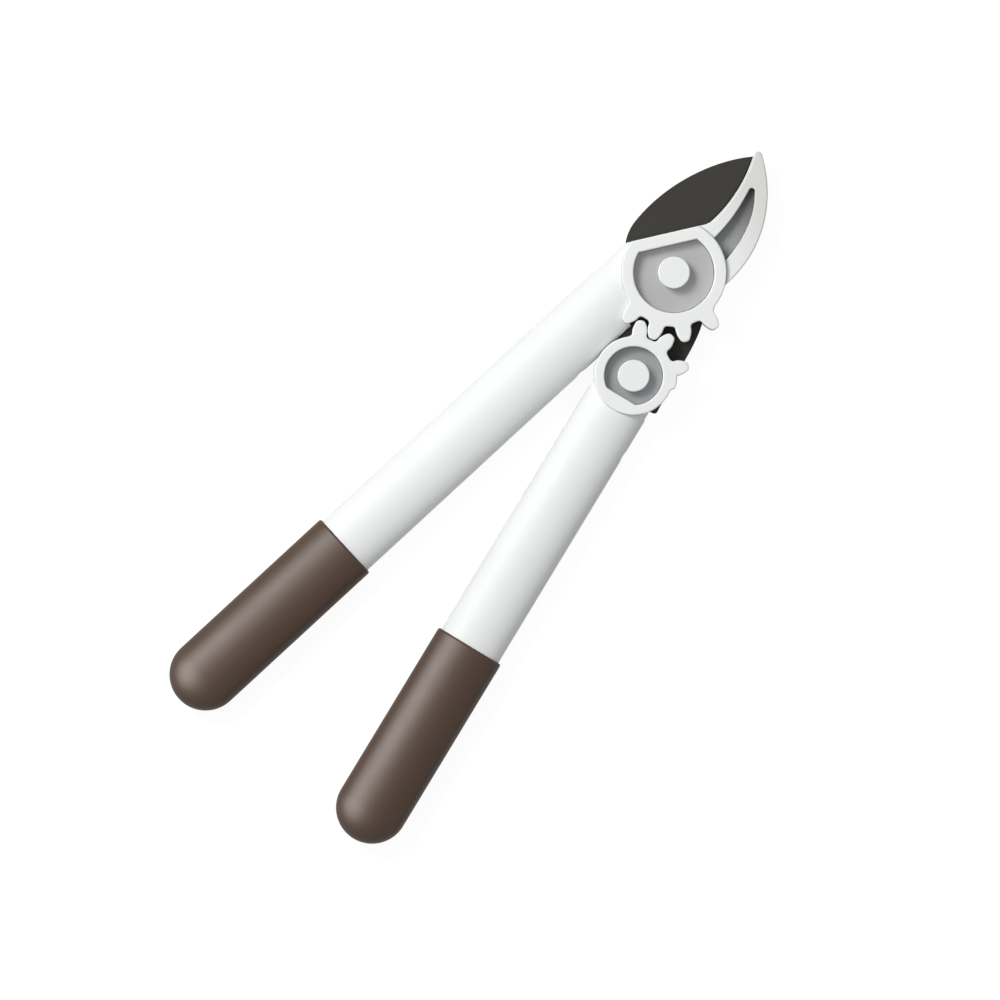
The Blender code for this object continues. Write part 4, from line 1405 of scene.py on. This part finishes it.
@dataclass(frozen=True)
class HandleSide(ABC):
    """What both handles share: a cast head, the tube pinned to it, a grip, two discs and a pivot."""

    place: BodyPlace
    layers: Layers
    jaws: Jaws
    name: str
    disc_name: str
    pivot: Pivot
    tube_x: float = 0.0
    spigot_length: float = 36.0 * MILLIMETRE
    pin_inset: float = 15.0 * MILLIMETRE
    pin_radius: float = 2.5 * MILLIMETRE

    @abstractmethod
    def disc(self) -> ToothedDisc:
        """The toothed disc that lies on each face."""

    @abstractmethod
    def slot_outline(self) -> Outline:
        """Room that the blade or its tang sweeps through in the handle."""

    @abstractmethod
    def slot_floor(self) -> float:
        """Height of the slot's lower end along the handle."""

    @abstractmethod
    def tube(self) -> HandleTube:
        """The handle's tube before it is cut to shape."""

    @abstractmethod
    def tube_cutters(self) -> list[Solid]:
        """What the tube is coped with, besides the slot and the pin's hole."""

    @abstractmethod
    def grip(self) -> SoftGrip:
        """The grip on the tube's other end."""

    @abstractmethod
    def add_head(self) -> None:
        """Builds the cast head."""

    def slot(self) -> Solid:
        """Cutter for the slot that the blade or its tang turns in."""
        return Solid.centred(self.slot_outline(), self.layers.slot)

    def spigot(self, top: float) -> Solid:
        """Part of the head that fills the tube, from a height down."""
        return self.tube().plug(top, self.slot_floor() - self.spigot_length)

    def pin_hole(self) -> Solid:
        """Cutter for the hole of the pin that holds the tube on its spigot."""
        return Solid.cross_rod(self.pin_radius + FIT, self.tube_x, self.slot_floor() - self.pin_inset)

    def shaped_head(self, blank: Solid, room: Outline, *cutters: Solid) -> Solid:
        """Cuts a head's blank to shape and adds the pads that the discs sit on.

        Args:
            blank: Ears, spigot and the rest, joined.
            room: Room for the disc on each face.
            cutters: What else is cut away before the slot.

        Returns:
            The head.
        """
        layers = self.layers
        head = blank.cut(Solid.on_both_faces(room, layers.ear, FAR), *cutters, self.slot())
        pad = self.disc().recess(FIT)
        pads = Solid.on_both_faces(pad, (layers.slot + layers.ear) / 2, layers.pad)
        return head.joined(pads).cut(self.pivot.bolt_hole(), self.pin_hole())

    def add_handle(self) -> None:
        """Builds the handle tube and its grip."""
        node = f"{self.name}_handle_tube"
        shaped = self.tube().solid().cut(*self.tube_cutters(), self.slot(), self.pin_hole())
        self.place.add(f"{node}_coated", shaped, [POWDER_COAT], Slot.TUBE, [node])
        node = f"{self.name}_grip"
        self.place.add(f"{node}_moulded", self.grip().solid(), [GRIP_RUBBER], Slot.GRIP, [node])

    def build(self, nodes: dict[str, bpy.types.Object]) -> None:
        """Builds the whole side.

        Args:
            nodes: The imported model's nodes.
        """
        self.add_head()
        self.add_handle()
        for face in Face:
            node = f"{face.name.lower()}_{self.disc_name}"
            disc = self.disc().solid(face, self.layers.disc_low, self.layers.disc_high)
            self.place.add(f"{node}_cast", disc, [ENAMEL], Slot.CASTING, [node])
        self.pivot.add(self.place, self.layers, nodes)
        dress(nodes[f"{self.name}_head_pin"], ZINC_PLATE)


@dataclass(frozen=True)
class AnvilSide(HandleSide):
    """Anvil handle, its cast head with the anvil arm, the two fixed discs and the main pivot."""

    name: str = "anvil"
    disc_name: str = "fixed_gear"
    pivot: Pivot = Pivot("main_pivot", "pivot_cap")
    tube_x: float = -11.52 * MILLIMETRE
    mouth_lift: float = 0.5 * MILLIMETRE
    first_tooth: float = -88.5
    teeth_cut: int = 4
    teeth_on_circle: int = 13
    disc_flat: float = 20.7 * MILLIMETRE
    disc_flat_facing: float = 150.3
    disc_rim: float = 6.4 * MILLIMETRE
    disc_root_step: float = 0.7 * MILLIMETRE

    def disc(self) -> ToothedDisc:
        """The fixed disc, whose flat lies along the blade.

        Returns:
            The disc.
        """
        pitch = 360.0 / self.teeth_on_circle
        return ToothedDisc(
            teeth_on_circle=self.teeth_on_circle,
            tooth_facings=tuple(self.first_tooth + pitch * i for i in range(self.teeth_cut)),
            root_step=self.disc_root_step,
            rim=self.disc_rim,
            recess_flat=self.disc_flat - self.disc_rim,
            recess_facing=self.disc_flat_facing,
            flat=self.disc_flat,
        )

    def slot_outline(self) -> Outline:
        """Room that the blade and its tang sweep through."""
        return self.jaws.slot_outline(self.tube_x + HandleTube.width / 2)

    def slot_floor(self) -> float:
        """Height of the slot's lower end at the tube's inner edge, along the handle."""
        return self.slot_outline()[2][1]

    def disc_room(self, gap: float) -> Outline:
        """Room for the disc and its first tooth.

        Args:
            gap: Gap all round them.

        Returns:
            The closed outline.
        """
        disc = self.disc()
        one_tooth = replace(disc, tooth_facings=disc.tooth_facings[:1])
        return grown(one_tooth.outline(with_flat=False), gap)

    def past_flat(self) -> Solid:
        """Everything on the blade's side of the discs' flat.

        Returns:
            The cutter.
        """
        middle = Vector(polar(self.disc_flat, self.disc_flat_facing))
        outwards = Vector(polar(FAR, self.disc_flat_facing))
        along = Vector(polar(FAR, self.disc_flat_facing + 90.0))
        corners = (middle - along, middle - along + outwards, middle + along + outwards, middle + along)
        return Solid.centred([tuple(corner) for corner in corners], FAR)

    def beside_tooth(self) -> Solid:
        """Corner of the tube beside the disc's first tooth.

        Returns:
            The cutter.
        """
        disc = self.disc()
        side = math.cos(math.radians(disc.tooth_facings[0])) * disc.pitch_radius
        reach = disc.pitch_radius + disc.form.addendum / 2 + FIT
        return Solid.centred([(side, -reach), (FAR, -reach), (FAR, 0.0), (side, 0.0)], FAR)

    def tube(self) -> HandleTube:
        """The anvil handle's tube, from under the discs."""
        tube_low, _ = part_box("anvil_handle_tube")
        return HandleTube(self.tube_x, 0.0, tube_low.y - self.place.origin.y)

    def tube_cutters(self) -> list[Solid]:
        """What the tube is coped with to clear the discs and the blade."""
        return [Solid.centred(self.disc_room(CLOSE_FIT), FAR), self.beside_tooth(), self.past_flat()]

    def grip(self) -> SoftGrip:
        """The anvil handle's grip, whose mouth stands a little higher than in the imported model.

        Returns:
            The grip.
        """
        grip_low, grip_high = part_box("anvil_grip")
        mouth = grip_high.y - self.place.origin.y + self.mouth_lift
        return SoftGrip(self.tube(), mouth, grip_high.y - grip_low.y + self.mouth_lift)

    def add_head(self) -> None:
        """Builds the cast head: anvil arm, ears, disc pads and spigot."""
        disc = self.disc()
        layers = self.layers
        arm = AnvilArm(self.jaws, disc)
        ear = flatted_circle(disc.disc_radius - 2 * FIT, self.disc_flat - FIT, self.disc_flat_facing)
        ear = Solid.centred(ear, layers.ear + FIT)
        blank = arm.solid().joined(ear, self.spigot(-self.jaws.hub_radius))
        head = self.shaped_head(blank, self.disc_room(FIT), arm.pocket_cutter())
        pocket = grown(arm.pocket_outline(), CLOSE_FIT)

        def on_pad(centre: Vector) -> bool:
            """Whether a face lies on a disc pad."""
            return math.hypot(centre.x, centre.y) < disc.recess_radius and abs(centre.z) > layers.ear

        def in_pocket(centre: Vector) -> bool:
            """Whether a face lies in a pocket, below its rounded rim."""
            depth = arm.half_thickness(centre.x, centre.y) - abs(centre.z)
            return depth > arm.pocket_round and holds(pocket, centre.x, centre.y)

        # The disc pads and the pockets take enamel painted grey as shade
        head.painted(1, on_pad).painted(2, in_pocket)
        finishes = [ARM_ENAMEL, FIXED_RECESS_PAINTED_SHADE, POCKET_PAINTED_SHADE]
        self.place.add("anvil_head_cast", head, finishes, Slot.CASTING, ["anvil_head"])


@dataclass(frozen=True)
class BladeAndTang:
    """The coated blade with its tang, and the two bushes that it turns on."""

    place: BodyPlace
    layers: Layers
    jaws: Jaws
    bush_radius: float = 5.8 * MILLIMETRE

    def blade(self) -> Solid:
        """The blade, ground on both faces along its cutting edge, with its other edges eased.

        Returns:
            The blade without its holes.
        """
        jaws = self.jaws
        outline, ground = jaws.blade_outline()
        half = self.layers.blade
        edge = jaws.edge_thickness / 2
        side = half - jaws.rub_round
        at_side = jaws.bevel_width * (side - edge) / (half - edge)
        face = [-jaws.bevel_width if on_edge else -jaws.rub_round for on_edge in ground]
        shoulder = [-at_side if on_edge else 0.0 for on_edge in ground]
        steps = [(half, face), (side, shoulder), (edge, 0.0)]
        return Solid.plate(outline, [(-height, growth) for height, growth in steps] + steps[::-1])

    def build(self, nodes: dict[str, bpy.types.Object]) -> None:
        """Builds the blade and dresses its bushes.

        Args:
            nodes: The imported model's nodes.
        """
        hole = Solid.rod(self.bush_radius + FIT)
        tang_hole = Solid.rod(self.bush_radius + FIT)
        lever_pivot = polar(self.jaws.pivot_spacing, self.jaws.pivot_line_facing)
        tang_hole.mesh.transform(Matrix.Translation((*lever_pivot, 0.0)))
        blade = self.blade().cut(hole, tang_hole)
        self.place.add("blade_coated", blade, [BLADE_COAT], Slot.BLADE, ["blade"])
        for bush in ("blade_bush", "tang_bush"):
            dress(nodes[bush], SINTERED_BRONZE)


@dataclass(frozen=True)
class LeverSide(HandleSide):
    """Lever handle, its cast fork and the two discs that roll on the fixed ones."""

    name: str = "lever"
    disc_name: str = "lever_gear"
    pivot: Pivot = Pivot("lever_pivot", "lever_cap")
    grip_from_pivot: float = 164.1 * MILLIMETRE
    grip_length: float = 117.1 * MILLIMETRE
    teeth_cut: int = 3
    teeth_on_circle: int = 10
    closing_flank_lean: float = 0.2 * MILLIMETRE
    disc_rim: float = 5.3 * MILLIMETRE
    disc_root_step: float = 0.1 * MILLIMETRE
    recess_flat: float = 12.5 * MILLIMETRE
    recess_facing: float = -90.0
    stub_height: float = 2.1 * MILLIMETRE

    def disc(self) -> ToothedDisc:
        """The lever's disc, in mesh with the fixed one.

        Returns:
            The disc.
        """
        mate_from_line = AnvilSide.first_tooth - self.jaws.pivot_line_facing
        pitches = mate_from_line * AnvilSide.teeth_on_circle / 360.0 + 0.5
        pitches += self.closing_flank_lean / (math.pi * ToothForm.module)
        pitch = 360.0 / self.teeth_on_circle
        last = self.jaws.pivot_line_facing + 180.0 - self.place.turn - pitches * pitch
        return ToothedDisc(
            teeth_on_circle=self.teeth_on_circle,
            tooth_facings=tuple(last - pitch * i for i in reversed(range(self.teeth_cut))),
            root_step=self.disc_root_step,
            rim=self.disc_rim,
            recess_flat=self.recess_flat,
            recess_facing=self.recess_facing,
            stub_height=self.stub_height,
        )

    def slot_floor(self) -> float:
        """Height of the slot's lower end along the handle, just past the tang's end."""
        return -math.hypot(self.jaws.tang_width_at_end, self.jaws.tang_reach) - 2 * FIT

    def slot_outline(self) -> Outline:
        """Room that the tang's end sweeps through in the fork."""
        return full_circle(-self.slot_floor())

    def tube(self) -> HandleTube:
        """The lever's handle tube, from under the disc to the round end of its grip.

        Returns:
            The tube.
        """
        half_grip = HandleTube.width / 2 + FIT + SoftGrip.wall
        bottom = -self.grip_from_pivot - self.grip_length + half_grip
        return HandleTube(self.tube_x, -self.recess_flat / 2, bottom)

    def tube_cutters(self) -> list[Solid]:
        """What the tube is coped with to clear the disc."""
        return [Solid.centred(full_circle(self.disc().disc_radius + CLOSE_FIT), FAR)]

    def grip(self) -> SoftGrip:
        """The lever's grip."""
        return SoftGrip(self.tube(), -self.grip_from_pivot, self.grip_length)

    def add_head(self) -> None:
        """Builds the cast fork with its disc pads and spigot."""
        disc = self.disc()
        ear = Solid.centred(full_circle(disc.disc_radius - self.disc_rim / 4), self.layers.ear + FIT)
        blank = ear.joined(self.spigot(-self.recess_flat))
        head = self.shaped_head(blank, full_circle(disc.disc_radius + FIT))
        # The disc pad in the recess takes enamel painted grey as shade
        head.painted(1, lambda centre: math.hypot(centre.x, centre.y) < disc.recess_radius)
        finishes = [ENAMEL, LEVER_RECESS_PAINTED_SHADE]
        self.place.add("lever_head_cast", head, finishes, Slot.CASTING, ["lever_head"])


# Studio


@dataclass(frozen=True)
class SoftLamp:
    """Round soft lamp, placed by its side of the photograph, anticlockwise from the right."""

    name: str
    facing: float
    from_above: float
    size: float
    power: float
    distance: float = 1.6
    gloss_only: bool = False


@dataclass(frozen=True)
class Studio:
    """White floor, soft light from the upper left of the photograph, and the camera."""

    picture_right: Place = (0.6779, 0.7351, 0.0)
    picture_up: Place = (-0.7351, 0.6779, 0.0)
    picture_centre: Point = (0.0256, -0.1464)
    picture_width: float = 0.52
    camera_distance: float = 6.0
    sensor_width: float = 36.0
    floor_size: float = 60.0
    sky_light: float = 0.45
    floor_colour: str = "#A4A4A4"
    floor_glow: float = 1.67
    shadow_share: float = 0.45
    reflected_shadow_share: float = 0.6
    lamps: tuple[SoftLamp, ...] = (
        SoftLamp("key_softbox", facing=135.0, from_above=42.0, size=0.7, power=18.0),
        SoftLamp("sheen_panel", facing=180.0, from_above=48.0, size=1.6, power=74.0, gloss_only=True),
    )

    def ray_share(self, tree: Tree, camera: float, reflected: float, other: float) -> Socket:
        """Value that depends on what kind of ray meets the surface.

        Args:
            tree: The node tree.
            camera: Value for camera rays.
            reflected: Value for glossy and transmission rays.
            other: Value for the rest, such as diffuse light.

        Returns:
            The value's socket.
        """
        rays = add_node(tree, "LightPath").outputs
        settings = {"operation": "MAXIMUM"}
        links = {0: rays["Is Glossy Ray"], 1: rays["Is Transmission Ray"]}
        mirrored = add_node(tree, "Math", settings, links).outputs[0]
        settings = {"To Min": other, "To Max": reflected}
        behind = add_node(tree, "MapRange", settings, {"Value": mirrored}).outputs["Result"]
        links = {"Value": rays["Is Camera Ray"], "To Min": behind}
        return add_node(tree, "MapRange", {"To Max": camera}, links).outputs["Result"]

    def add_world(self) -> None:
        """Even sky light, which looks white."""
        world = bpy.data.worlds.new("studio")
        world.use_nodes = True
        tree = world.node_tree
        background = tree.nodes["Background"]
        background.inputs["Color"].default_value = WHITE
        strength = self.ray_share(tree, camera=1.0, reflected=1.0, other=self.sky_light)
        tree.links.new(strength, background.inputs["Strength"])
        bpy.context.scene.world = world

    def add_floor(self) -> None:
        """Pale floor that looks white and keeps a light shadow."""
        bm = bmesh.new()
        bmesh.ops.create_grid(bm, x_segments=1, y_segments=1, size=self.floor_size / 2)
        mesh = bpy.data.meshes.new("floor")
        bm.to_mesh(mesh)
        bm.free()
        floor = in_scene("floor", mesh)
        material = bpy.data.materials.new("white_studio_floor")
        material.use_nodes = True
        tree = material.node_tree
        tree.nodes.clear()
        paper = add_node(tree, "BsdfDiffuse", {"Color": linear_colour(self.floor_colour)})
        glow = add_node(tree, "Emission", {"Color": WHITE, "Strength": self.floor_glow})
        share = self.ray_share(tree, 1.0 - self.shadow_share, 1.0 - self.reflected_shadow_share, 0.0)
        links = {0: share, 1: paper.outputs[0], 2: glow.outputs[0]}
        mixed = add_node(tree, "MixShader", links=links)
        add_node(tree, "OutputMaterial", links={"Surface": mixed.outputs[0]})
        mesh.materials.append(material)

    def add_lamp(self, lamp: SoftLamp, target: Vector) -> None:
        """Adds one lamp.

        Args:
            lamp: The lamp.
            target: What it shines on.
        """
        right, up = polar(1.0, lamp.facing)
        level = Vector(self.picture_right) * right + Vector(self.picture_up) * up
        lean = math.radians(lamp.from_above)
        towards = level.normalized() * math.sin(lean) + Vector((0.0, 0.0, 1.0)) * math.cos(lean)
        light = bpy.data.lights.new(lamp.name, "AREA")
        light.shape = "DISK"
        light.size = lamp.size
        light.energy = lamp.power
        source = in_scene(lamp.name, light)
        source.location = target + towards * lamp.distance
        source.rotation_euler = towards.to_track_quat("Z", "Y").to_euler()
        source.visible_diffuse = not lamp.gloss_only

    def add_camera(self, height: float) -> None:
        """Long lens that looks straight down, at the photograph's framing.

        Args:
            height: Height of the middle of the tool above the floor.
        """
        camera = bpy.data.cameras.new("camera")
        camera.type = "PERSP"
        camera.sensor_width = self.sensor_width
        camera.lens = self.sensor_width * self.camera_distance / self.picture_width
        camera.clip_end = 2 * self.floor_size
        viewer = in_scene("camera", camera)
        viewer.location = (*self.picture_centre, height + self.camera_distance)
        viewer.rotation_euler = (0.0, 0.0, math.radians(facing_of(self.picture_right)))
        bpy.context.scene.camera = viewer

    def build(self, middle: float) -> None:
        """Sets up the floor, the light and the camera.

        Args:
            middle: Height of the middle of the tool above the floor.
        """
        self.add_world()
        self.add_floor()
        for lamp in self.lamps:
            self.add_lamp(lamp, Vector((*self.picture_centre, middle)))
        self.add_camera(middle)
        bpy.context.scene.view_settings.view_transform = "Standard"


def joint_place(frame: dict, joint: str) -> Vector:
    """Place of a joint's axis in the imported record."""
    found = next(entry for entry in frame["joints"] if entry["name"] == joint)
    return Vector(found["pos_m"])


def main() -> None:
    """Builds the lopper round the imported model, and the studio round the lopper."""
    logging.basicConfig(level=logging.INFO, format="%(name)s: %(message)s")
    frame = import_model()
    layers = Layers.measured()
    jaws = Jaws()
    main_pivot = joint_place(frame, "blade_pivot")
    lever_pivot = joint_place(frame, "lever_pivot")
    lever_side = BodyPlace("lever_side", lever_pivot, turn=CLOSED_HANDLES_ANGLE)
    AnvilSide(BodyPlace("anvil_side", main_pivot), layers, jaws).build(frame["nodes"])
    BladeAndTang(BodyPlace("blade_and_tang", main_pivot), layers, jaws).build(frame["nodes"])
    LeverSide(lever_side, layers, jaws).build(frame["nodes"])
    Studio().build(layers.middle)


if __name__ == "__main__":
    main()
